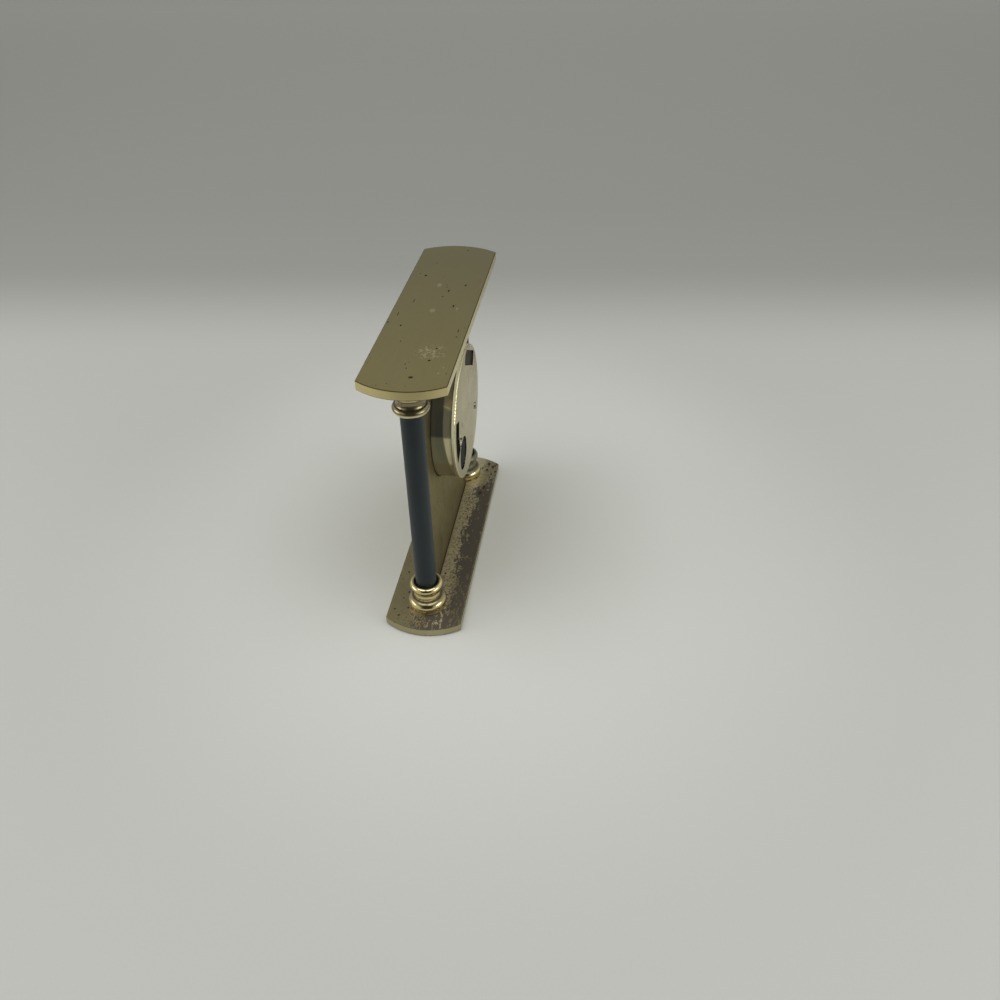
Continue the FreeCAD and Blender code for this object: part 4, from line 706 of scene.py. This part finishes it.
# Radii and heights of the cover and the drum are in millimetres from the drum's axis.
cover = {
    "name": "coverBrass", "colour": (0.57, 0.505, 0.33), "second": (0.525, 0.455, 0.295), "blotch": 70.0,
    "lines": (900.0, 900.0, 60.0), "contrast": 0.07, "relief": 0.0004, "roughness": (0.20, 0.30),
    "shader": {"Specular Tint": (0.88, 0.86, 0.79)},
    "streaks": (1.0, 3.0, 0.60, 0.72, (700.0, 700.0, 90.0)), "crowd": (55.0, 2.0, 0.48, 0.62),
    "specks": (420.0, 0.06, 0.13), "low": (11.0, 1.0), "skirt": (12.45, 12.25), "paintedHighlight": (-2.0, 7.0),
    "rim": (30.85, 31.05),
    "slits": [(18.05, -3.35, 3.9, 0.55, 34.7), (18.6, -7.05, 2.7, 0.45, 27.5)], "slitRagged": 0.8,
    "burrs": [(18.2, -5.3, 2.8, 0.45, 31.0), (19.6, -0.9, 1.6, 0.35, 38.0)], "burrRagged": 1.2,
    # The first of these dull patches, near the top of the rim, is a painted reflection of the top plate's
    # side.
    "dull": [(-12.5, 29.6, 4.5, 1.3, -20.0), (-24.5, 16.5, 1.6, 4.5, 0.0), (13.0, 1.0, 2.6, 1.0, 60.0)],
    "dullRagged": 2.5,
    "coats": {
        # Painted shade: the cover is darker towards its lower part.
        "low": coat((0.49, 0.445, 0.285)),
        "streaks": coat((0.20, 0.17, 0.11), 0.45, share=0.6),
        "dull": coat((0.26, 0.26, 0.20), 0.5, share=0.5),
        "specks": coat((0.20, 0.17, 0.11), 0.6, depth=0.01),
        # Painted highlight: the rounded rim is paler and yellower.
        "rim": coat((0.76, 0.70, 0.44), 0.27),
        "skirt": coat((0.50, 0.455, 0.30), 0.30, metallic=0.6),
        # Painted highlight: a near-white band on the upper part of the skirt.
        "paintedHighlight": coat((1.0, 0.96, 0.66), 0.30, metallic=0.0),
        # Painted shade: a dark line along the cover's rounded edges, leaving out the rim.
        "edge": coat((0.20, 0.17, 0.11), 0.5, share=0.7),
        "burrs": coat((0.80, 0.78, 0.66), 0.35),
        # Painted slits: their darkness is painted shade in the cuts.
        "slits": coat((0.020, 0.018, 0.012), 0.7, metallic=0.0, depth=0.1),
    },
}


def coverWear(place, values):
    x, y, z = splitMillimetres(place)
    height = minus(z, drumAxis.z / mm)
    skirt = rampNode(y, *values["skirt"])
    rim = rampNode(fromDrumAxis(place), *inMetres(values["rim"]))
    return {
        # Painted shade, darker lower down.
        "low": rampNode(height, *values["low"]),
        "streaks": times(noiseMask(place, values["streaks"]), noiseMask(place, values["crowd"])),
        "dull": slantMasks(place, values["dull"], values["dullRagged"]),
        "specks": pitMask(place, values["specks"]),
        "rim": rim,
        "skirt": skirt,
        # Painted highlight on the skirt.
        "paintedHighlight": times(skirt, rampNode(height, *values["paintedHighlight"])),
        "edge": minus(edgeDirt(place, turnedRound), rim, clamp=True),
        "burrs": slantMasks(place, values["burrs"], values["burrRagged"]),
        "slits": slantMasks(place, values["slits"], values["slitRagged"]),
    }


tarnish = {
    "pits": (380.0, 0.08, 0.13), "cloud": (38.0, 4.0), "cloudShare": (0.58, 0.75, 0.0, 0.5),
    "coats": {
        "tarnishPits": coat((0.05, 0.04, 0.025), 0.6, depth=0.02, share=0.9),
        "tarnishCloud": coat((0.28, 0.20, 0.09), 0.35),
    },
}


def lightTarnish(place, values):
    cloud = noiseNode(place, *tarnish["cloud"])
    return {"tarnishPits": pitMask(place, tarnish["pits"]),
            "tarnishCloud": rampNode(cloud, *tarnish["cloudShare"])}


# The drum carries painted reflections: dark before a slanting edge and pale behind it, down to the level
# where the light comes from below, then olive and a painted highlight, a brown foot, and painted shade at the
# seams.
drum = {
    "name": "drumBrass", "colour": (0.50, 0.45, 0.27), "second": (0.44, 0.395, 0.24), "blotch": 60.0,
    "lines": 2300.0, "contrast": 0.04, "relief": 0.0002, "roughness": (0.06, 0.12), "metallic": 0.82,
    "seamShade": ((2.1, 1.9), (10.75, 11.05)), "band": (7.1, 7.7), "slope": 0.12, "low": (5.8, 4.6),
    "bottom": (-9.0, -11.0),
    "coats": {
        **tarnish["coats"],
        # All but the tarnish are painted reflections and painted shade.
        "paintedDarkReflection": coat((0.115, 0.115, 0.105), 0.20, metallic=0.5, share=0.9),
        "satin": coat((0.66, 0.61, 0.40), 0.22, metallic=0.5, share=0.6),
        "paintedOliveReflection": coat((0.31, 0.305, 0.215), 0.25, metallic=0.35, share=0.8),
        "paintedHighlight": coat((1.0, 0.92, 0.56), 0.30, metallic=0.1, share=0.85),
        "bottom": coat((0.33, 0.255, 0.14), 0.25, metallic=0.4, share=0.8),
        "seamShade": coat((0.030, 0.024, 0.012), 0.6, metallic=0.3),
    },
}


def drumWear(place, values):
    across = splitMillimetres(place)[1]
    height = heightAbove(place, drumAxis.z)
    low = rampNode(height, *values["low"])
    below = most(minus(values["low"][0], height), 0.0)
    rear = rampNode(minus(across, times(below, values["slope"])), *values["band"])
    front, high = minus(1.0, rear), minus(1.0, low)
    return {
        **lightTarnish(place, values),
        "paintedDarkReflection": times(front, high),
        "satin": times(rear, high),
        "paintedOliveReflection": times(front, low),
        "paintedHighlight": times(rear, low),
        "bottom": rampNode(height, *values["bottom"]),
        "seamShade": most(*(rampNode(across, *edge) for edge in values["seamShade"])),
    }


bezel = {
    "name": "bezelBrass", "colour": (0.70, 0.585, 0.31), "second": (0.64, 0.54, 0.29), "blotch": 80.0,
    "lines": 2600.0, "contrast": 0.04, "relief": 0.0003, "roughness": (0.05, 0.11), "coats": tarnish["coats"],
}
# Finishes without wear of their own, a row for each: the material's name, its two colours, the
# scale of its blotches, how its lines are stretched (or the scale of turned ones), their contrast
# and relief, the two roughnesses, then the metal share if not full and any values for the shader.
rowKeys = "name colour second blotch lines contrast relief roughness metallic shader".split()
plainRows = {
    "brass_screws": ("screwBrass", (0.58, 0.49, 0.26), (0.48, 0.40, 0.21), 400.0, (1500.0,) * 3,
                     0.12, 0.0010, (0.20, 0.32)),
    "gear_brass": ("gearBrass", (0.60, 0.50, 0.25), (0.52, 0.43, 0.21), 300.0, (900.0, 300.0, 900.0),
                   0.10, 0.0006, (0.25, 0.35)),
    "steel": ("screwSteel", (0.52, 0.52, 0.51), (0.43, 0.43, 0.42), 200.0, (1800.0, 1800.0, 200.0),
              0.12, 0.0008, (0.24, 0.36)),
    "cell_steel": ("cellSteel", (0.60, 0.60, 0.58), (0.52, 0.52, 0.50), 150.0, (1500.0, 200.0, 1500.0),
                   0.08, 0.0004, (0.18, 0.28)),
    "motor_iron": ("motorIron", (0.36, 0.36, 0.35), (0.30, 0.29, 0.28), 180.0, (400.0, 2000.0, 2000.0),
                   0.15, 0.0010, (0.35, 0.45)),
    "magnet": ("rotorMagnet", (0.10, 0.10, 0.10), (0.075, 0.072, 0.07), 500.0, (3000.0,) * 3,
               0.2, 0.004, (0.5, 0.6), 0.4),
    "knob_plastic": ("knobPlastic", (0.008, 0.008, 0.008), (0.005, 0.005, 0.005), 150.0, (3000.0,) * 3,
                     0.3, 0.010, (0.45, 0.55), 0.0, {"Specular IOR Level": 0.06}),
    "gear_plastic": ("gearPlastic", (0.66, 0.66, 0.61), (0.60, 0.60, 0.55), 260.0, (2500.0,) * 3,
                     0.05, 0.003, (0.35, 0.45), 0.0),
    "chip_plastic": ("chipPlastic", (0.020, 0.020, 0.020), (0.015, 0.015, 0.015), 700.0, (5000.0,) * 3,
                     0.25, 0.006, (0.5, 0.6), 0.0),
    "board": ("boardLaminate", (0.022, 0.13, 0.055), (0.018, 0.105, 0.045), 200.0, (3200.0, 300.0, 900.0),
              0.25, 0.003, (0.30, 0.40), 0.0),
    "copper": ("copperWire", (0.62, 0.24, 0.10), (0.50, 0.18, 0.07), 300.0, (9000.0, 60.0, 60.0),
               0.35, 0.02, (0.25, 0.35)),
    "dial_paint": ("dialPaint", (0.78, 0.75, 0.66), (0.74, 0.70, 0.60), 60.0, 3200.0,
                   0.06, 0.004, (0.34, 0.44), 0.0),
    "hand_black": ("handBlack", (0.014, 0.014, 0.015), (0.022, 0.022, 0.023), 250.0, (1500.0, 400.0, 1500.0),
                   0.15, 0.0006, (0.25, 0.35), 0.0),
    "wheel_card": ("wheelCard", (0.76, 0.74, 0.66), (0.70, 0.67, 0.58), 110.0, (2200.0,) * 3,
                   0.08, 0.006, (0.55, 0.65), 0.0),
    "ink": ("printInk", (0.018, 0.018, 0.020), (0.030, 0.030, 0.032), 600.0, (3000.0,) * 3,
            0.2, 0.001, (0.40, 0.50), 0.0),
}
calendarBrass = {
    "name": "calendarBrass", "colour": (0.52, 0.44, 0.24), "second": (0.46, 0.39, 0.215), "blotch": 50.0,
    "lines": (70.0, 900.0, 2400.0), "contrast": 0.14, "relief": 0.0010, "roughness": (0.28, 0.38),
    "coats": tarnish["coats"],
}
blackPlastic = {
    "name": "movementPlastic", "colour": (0.032, 0.028, 0.017), "second": (0.025, 0.022, 0.013),
    "blotch": 120.0, "lines": (2600.0,) * 3, "contrast": 0.2, "relief": 0.010, "roughness": (0.50, 0.60),
    "metallic": 0.0, "shader": {"Specular IOR Level": 0.05}, "paintedSideShade": (4.0, 9.0),
    "coats": {"paintedSideShade": coat((0.003, 0.003, 0.003), 0.7)},
}


def plasticWear(place, values):
    # Darker on one side than the other: painted shade.
    across = mathNode("DIVIDE", splitPlace(place)[0], mm)
    return {"paintedSideShade": rampNode(across, *values["paintedSideShade"])}


felt = {
    "colour": (0.012, 0.040, 0.022), "second": (0.020, 0.058, 0.034), "blotch": 220.0,
    "stretch": (1400.0,) * 3, "relief": 0.3, "strength": 0.8,
    "shader": {"Roughness": 0.95, "Sheen Weight": 0.5, "Sheen Roughness": 0.4, "Specular IOR Level": 0.1},
}
glass = {
    "blotch": 70.0, "roughness": (0.01, 0.06),
    "shader": {"Base Color": (0.96, 0.98, 0.97), "Transmission Weight": 1.0, "IOR": 1.5},
}


def makeFelt(values):
    material, place, shader = newMaterial("feltCloth")
    fibre = useGroup(grain, place=place, stretch=values["stretch"])
    nap = useGroup(blotch, place=place, scale=values["blotch"])
    relief = {"Height": fibre, "Strength": values["strength"], "Distance": values["relief"] * mm}
    feedSockets(shader, {"Base Color": mixColour(nap, values["colour"], values["second"]),
                         "Normal": joinNode("ShaderNodeBump", relief).outputs[0], **values["shader"]})
    return material


def makeGlass(values):
    material, place, shader = newMaterial("clockGlass")
    smear = useGroup(blotch, place=place, scale=values["blotch"])
    feedSockets(shader, {"Roughness": rampNode(smear, 0.0, 1.0, *values["roughness"]), **values["shader"]})
    return material


finishOf = {slot: makeFinish(dict(zip(rowKeys, row))) for slot, row in plainRows.items()}
printInk = finishOf.pop("ink")
finishOf.update({
    "felt": makeFelt(felt), "glass": makeGlass(glass),
    "column_lacquer": makeFinish(lacquer, lacquerWear), "polished_brass": makeFinish(ferrule, ferruleWear),
    "panel_brass": makeFinish(panel, panelWear), "drum_brass": makeFinish(drum, drumWear),
    "cover_brass": makeFinish(cover, coverWear), "plate_brass": makeFinish(topPlate, topPlateWear),
    "calendar_brass": makeFinish(calendarBrass, lightTarnish),
    "movement_plastic": makeFinish(blackPlastic, plasticWear),
})
capBrass = makeFinish({**ferrule, "name": "capBrass"}, capWear)
ownFinish = {
    "base_plate": makeFinish(basePlate, basePlateWear), "bezel": makeFinish(bezel, lightTarnish),
    "column_base_left": makeFinish(farFoot, farFootWear),
    "column_cap_left": capBrass, "column_cap_right": capBrass,
}
for name, node in frame["nodes"].items():
    node.data.materials.clear()
    node.data.materials.append(ownFinish.get(name, finishOf[slotOf[name]]))
print("%d finishes are made" % (len(finishOf) + len(ownFinish) + 1))


sharpAngle = math.radians(32)
weldReach = 0.0005 * mm


def putPiece(bm, name, like, finish=None, replaced=()):
    # Turns a finished bmesh into a piece that moves with the CAD node `like`.
    for face in bm.faces:
        face.smooth = True
    data = bpy.data.meshes.new(name)
    bm.to_mesh(data)
    bm.free()
    data.set_sharp_from_angle(angle=sharpAngle)
    data.materials.append(finish or ownFinish.get(like, finishOf[slotOf[like]]))
    made = addObject(name, data)
    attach(made, bodyOf[like])
    if replaced:
        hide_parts(*replaced)
    return made


# Pieces whose edges catch the light: the rounding of each, in millimetres.
softEdges = {
    "top_plate": 0.12, "base_plate": 0.12, "mount_panel": 0.12, "back_cover": 0.06, "drum_case": 0.10,
    "column_base_left": 0.14, "column_base_right": 0.14, "column_cap_left": 0.14, "column_cap_right": 0.14,
    "column_left": 0.10, "column_right": 0.10, "glass": 0.08, "dial": 0.05, "setting_knob": 0.12,
    "calendar_body": 0.15, "calendar_face": 0.12, "date_wheel": 0.06, "day_wheel": 0.06, "month_wheel": 0.06,
    "hour_hand": 0.05, "minute_hand": 0.05, "seconds_hand": 0.04, "base_felt": 0.15,
    "movement_rear_frame": 0.08,
}


def roundEdges(made, width):
    rounding = made.modifiers.new("rounding", "BEVEL")
    rounding.width = width * mm
    rounding.segments = 2
    rounding.limit_method = "ANGLE"
    rounding.angle_limit = sharpAngle
    rounding.harden_normals = True


def mendFaces(bm):
    bmesh.ops.remove_doubles(bm, verts=bm.verts, dist=weldReach)
    bmesh.ops.recalc_face_normals(bm, faces=bm.faces)


def softenNode(name, width):
    bm = bmesh.new()
    bm.from_mesh(frame["nodes"][name].data)
    bmesh.ops.remove_doubles(bm, verts=bm.verts, dist=weldReach)
    bmesh.ops.dissolve_limit(bm, angle_limit=math.radians(0.2), verts=bm.verts, edges=bm.edges)
    roundEdges(putPiece(bm, name + "_soft", name, replaced=(name,)), width)


for name, width in softEdges.items():
    softenNode(name, width)
print("%d pieces have rounded edges" % len(softEdges))

bezelShape = {
    "profile": [(28.35, -1.7), (33.0, -1.7), (33.0, -3.2), (32.78, -4.3), (32.2, -5.35), (31.5, -6.3),
                (30.7, -7.2), (27.2, -7.2), (26.2, -6.55), (26.2, -6.2), (28.35, -6.2)],
    "segments": 144, "rounding": 0.14,
}


def makeBezel(values):
    # Its section is turned round the drum's axis: radius and depth in millimetres.
    bm = bmesh.new()
    points = [bm.verts.new((drumAxis.x, depth * mm, drumAxis.z + radius * mm))
              for radius, depth in values["profile"]]
    edges = [bm.edges.new(pair) for pair in zip(points, points[1:] + points[:1])]
    bmesh.ops.spin(bm, geom=points + edges, cent=drumAxis, axis=turnedRound, angle=2 * math.pi,
                   steps=values["segments"], use_merge=True)
    mendFaces(bm)
    roundEdges(putPiece(bm, "bezel_turned", "bezel", replaced=("bezel",)), values["rounding"])


def extrudeFaces(bm, faces, move):
    made = bmesh.ops.extrude_face_region(bm, geom=faces)["geom"]
    bmesh.ops.translate(bm, verts=[vert for vert in made if isinstance(vert, bmesh.types.BMVert)], vec=move)
    return [face for face in made if isinstance(face, bmesh.types.BMFace)]


def onFront(centre, angle, radius, level):
    # A place on a front face: the angle runs clockwise from twelve, lengths are in metres.
    return (Matrix.Translation((centre.x, level, centre.z)) @ Matrix.Rotation(angle, 4, "Y")
            @ Matrix.Translation((0, 0, radius)) @ Matrix.Rotation(math.radians(90), 4, "X"))


lettering = {"rise": 0.015, "resolution": 4}


def addWords(bm, words, size, place, weight=0.02):
    curve = bpy.data.curves.new("words", "FONT")
    curve.body = words
    curve.size = size * mm
    curve.offset = weight * mm
    curve.extrude = lettering["rise"] * mm
    curve.resolution_u = lettering["resolution"]
    curve.align_x = curve.align_y = "CENTER"
    holder = bpy.data.objects.new("words", curve)
    flat = bpy.data.meshes.new_from_object(holder)
    flat.transform(place)
    bm.from_mesh(flat)
    bpy.data.objects.remove(holder)
    bpy.data.curves.remove(curve)
    bpy.data.meshes.remove(flat)


def addRing(bm, inner, outer, rise, place):
    edges = []
    for radius in (inner, outer):
        made = bmesh.ops.create_circle(bm, segments=120, radius=radius * mm, matrix=place)["verts"]
        edges += list({edge for vert in made for edge in vert.link_edges})
    faces = bmesh.ops.bridge_loops(bm, edges=edges)["faces"]
    extrudeFaces(bm, faces, place.to_3x3() @ Vector((0, 0, rise * mm)))


def addBlock(bm, wide, high, thick, place):
    bmesh.ops.create_cube(bm, size=1.0, matrix=place @ Matrix.Diagonal((wide * mm, high * mm, thick * mm, 1)))


def putPrint(bm, name, like):
    mendFaces(bm)
    putPiece(bm, name, like, finish=printInk)


dialPrint = {
    "hours": ("XII", "I", "II", "III", "IIII", "V", "VI", "VII", "VIII", "IX", "X", "XI"),
    "radius": 20.9, "size": 5.6, "narrow": 0.72, "weight": 0.06,
    "track": (24.3, 25.5), "line": 0.10, "tick": 0.13, "hourTick": 0.40,
    "thick": 0.024, "rise": 0.02, "sunk": 0.005,
}


def makeDialPrint(values):
    bm = bmesh.new()
    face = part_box("dial")[0].y
    inner, outer = values["track"]
    for number, words in enumerate(values["hours"]):
        place = onFront(drumAxis, math.radians(30 * number), values["radius"] * mm, face)
        place = place @ Matrix.Diagonal((values["narrow"], 1, 1, 1))
        addWords(bm, words, values["size"], place, values["weight"])
    for minute in range(60):
        wide = values["hourTick"] if minute % 5 == 0 else values["tick"]
        place = onFront(drumAxis, math.radians(6 * minute), (inner + outer) / 2 * mm, face)
        addBlock(bm, wide, outer - inner, values["thick"], place)
    for radius in values["track"]:
        half = values["line"] / 2
        addRing(bm, radius - half, radius + half, values["rise"],
                onFront(drumAxis, 0, 0, face + values["sunk"] * mm))
    putPrint(bm, "dial_print", "dial")


calendarPrint = {
    "date_wheel": {"words": [str(day) for day in range(1, 32)], "shown": 17, "radius": 15.0, "size": 2.3},
    "day_wheel": {"words": "MON TUE WED THU FRI SAT SUN".split(), "shown": 3, "radius": 8.5, "size": 2.1},
    "month_wheel": {"words": "JAN FEB MAR APR MAY JUN JUL AUG SEP OCT NOV DEC".split(), "shown": 9,
                    "radius": 8.5, "size": 1.75},
}


def makeWheelPrint(wheel, values):
    bm = bmesh.new()
    words = values["words"]
    for number, word in enumerate(words):
        turn = -2 * math.pi * (number - values["shown"]) / len(words)
        place = onFront(axisOf[wheel + "_turn"], turn, values["radius"] * mm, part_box(wheel)[0].y)
        addWords(bm, word, values["size"], place)
    putPrint(bm, wheel + "_print", wheel)


windowFrames = {
    "level": 41.1, "high": 4.4, "border": 0.55, "rise": 0.28, "sunk": 0.02, "rounding": 0.09,
    "windows": {"date_wheel": 3.4, "day_wheel": 7.0, "month_wheel": 4.6},
}


def makeWindowFrames(values):
    bm = bmesh.new()
    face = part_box("calendar_face")[0].y
    border = values["border"] * mm
    for wheel, wide in values["windows"].items():
        centre = Vector((axisOf[wheel + "_turn"].x, 0, values["level"] * mm))
        size = Matrix.Diagonal((wide * mm + 2 * border, values["high"] * mm + 2 * border, 1, 1))
        place = onFront(centre, 0, 0, face + values["sunk"] * mm) @ size
        corners = bmesh.ops.create_grid(bm, x_segments=1, y_segments=1, size=0.5, matrix=place)["verts"]
        sheet = list({patch for corner in corners for patch in corner.link_faces})
        rim = bmesh.ops.inset_region(bm, faces=sheet, thickness=border, use_boundary=True)["faces"]
        bmesh.ops.delete(bm, geom=sheet, context="FACES")
        extrudeFaces(bm, rim, (0, -(values["rise"] + values["sunk"]) * mm, 0))
    bmesh.ops.recalc_face_normals(bm, faces=bm.faces)
    roundEdges(putPiece(bm, "calendar_frames", "calendar_face"), values["rounding"])


screws = {
    "calendar_screws": {"head": 2.8, "height": 0.8, "shank": 1.4, "slot": 0.42, "depth": 0.4, "toward": 90,
                        "rounding": 0.07, "turns": (20, 75, -35, 50)},
    "cover_screw": {"head": 3.4, "height": 0.5, "shank": 1.6, "slot": 0.5, "depth": 0.28, "toward": -90,
                    "rounding": 0.07, "turns": (24,)},
}


def addScrew(bm, values, length, place):
    # A flat head with an open slot, its underside at the place's origin, over a plain shank.
    single = bmesh.new()
    bmesh.ops.create_circle(single, cap_ends=True, segments=48, radius=values["head"] / 2 * mm)
    for side in (-0.5, 0.5):
        bmesh.ops.bisect_plane(single, geom=single.verts[:] + single.edges[:] + single.faces[:],
                               plane_co=(0, side * values["slot"] * mm, 0), plane_no=(0, 1, 0))
    top = extrudeFaces(single, single.faces[:], (0, 0, (values["height"] - values["depth"]) * mm))
    wings = [face for face in top if abs(face.calc_center_median().y) > values["slot"] / 2 * mm]
    extrudeFaces(single, wings, (0, 0, values["depth"] * mm))
    bmesh.ops.delete(single, geom=wings, context="FACES_ONLY")
    shank = values["shank"] / 2 * mm
    bmesh.ops.create_cone(single, cap_ends=True, segments=32, radius1=shank, radius2=shank, depth=length,
                          matrix=Matrix.Translation((0, 0, -length / 2)))
    bmesh.ops.recalc_face_normals(single, faces=single.faces)
    shape = bpy.data.meshes.new("screw")
    single.to_mesh(shape)
    single.free()
    shape.transform(place)
    bm.from_mesh(shape)
    bpy.data.meshes.remove(shape)


def makeScrews(name, values):
    # They stand in the corners of the node's box; a box of one screw has all its corners in one.
    bm = bmesh.new()
    low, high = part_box(name)
    radius = values["head"] / 2 * mm
    centres = [(x, z) for x in (low.x + radius, high.x - radius) for z in (low.z + radius, high.z - radius)]
    outward = -1 if values["toward"] > 0 else 1
    seat = (high.y if outward > 0 else low.y) - outward * values["height"] * mm
    length = high.y - low.y - values["height"] * mm
    for (x, z), turn in zip(centres, values["turns"]):
        place = (Matrix.Translation((x, seat, z)) @ Matrix.Rotation(math.radians(values["toward"]), 4, "X")
                 @ Matrix.Rotation(math.radians(turn), 4, "Z"))
        addScrew(bm, values, length, place)
    roundEdges(putPiece(bm, name + "_slotted", name, replaced=(name,)), values["rounding"])


makeBezel(bezelShape)
makeDialPrint(dialPrint)
for wheel, row in calendarPrint.items():
    makeWheelPrint(wheel, row)
print("dial and calendar wheels are printed")
makeWindowFrames(windowFrames)
for name, row in screws.items():
    makeScrews(name, row)
print("window frames and slotted screws are made")
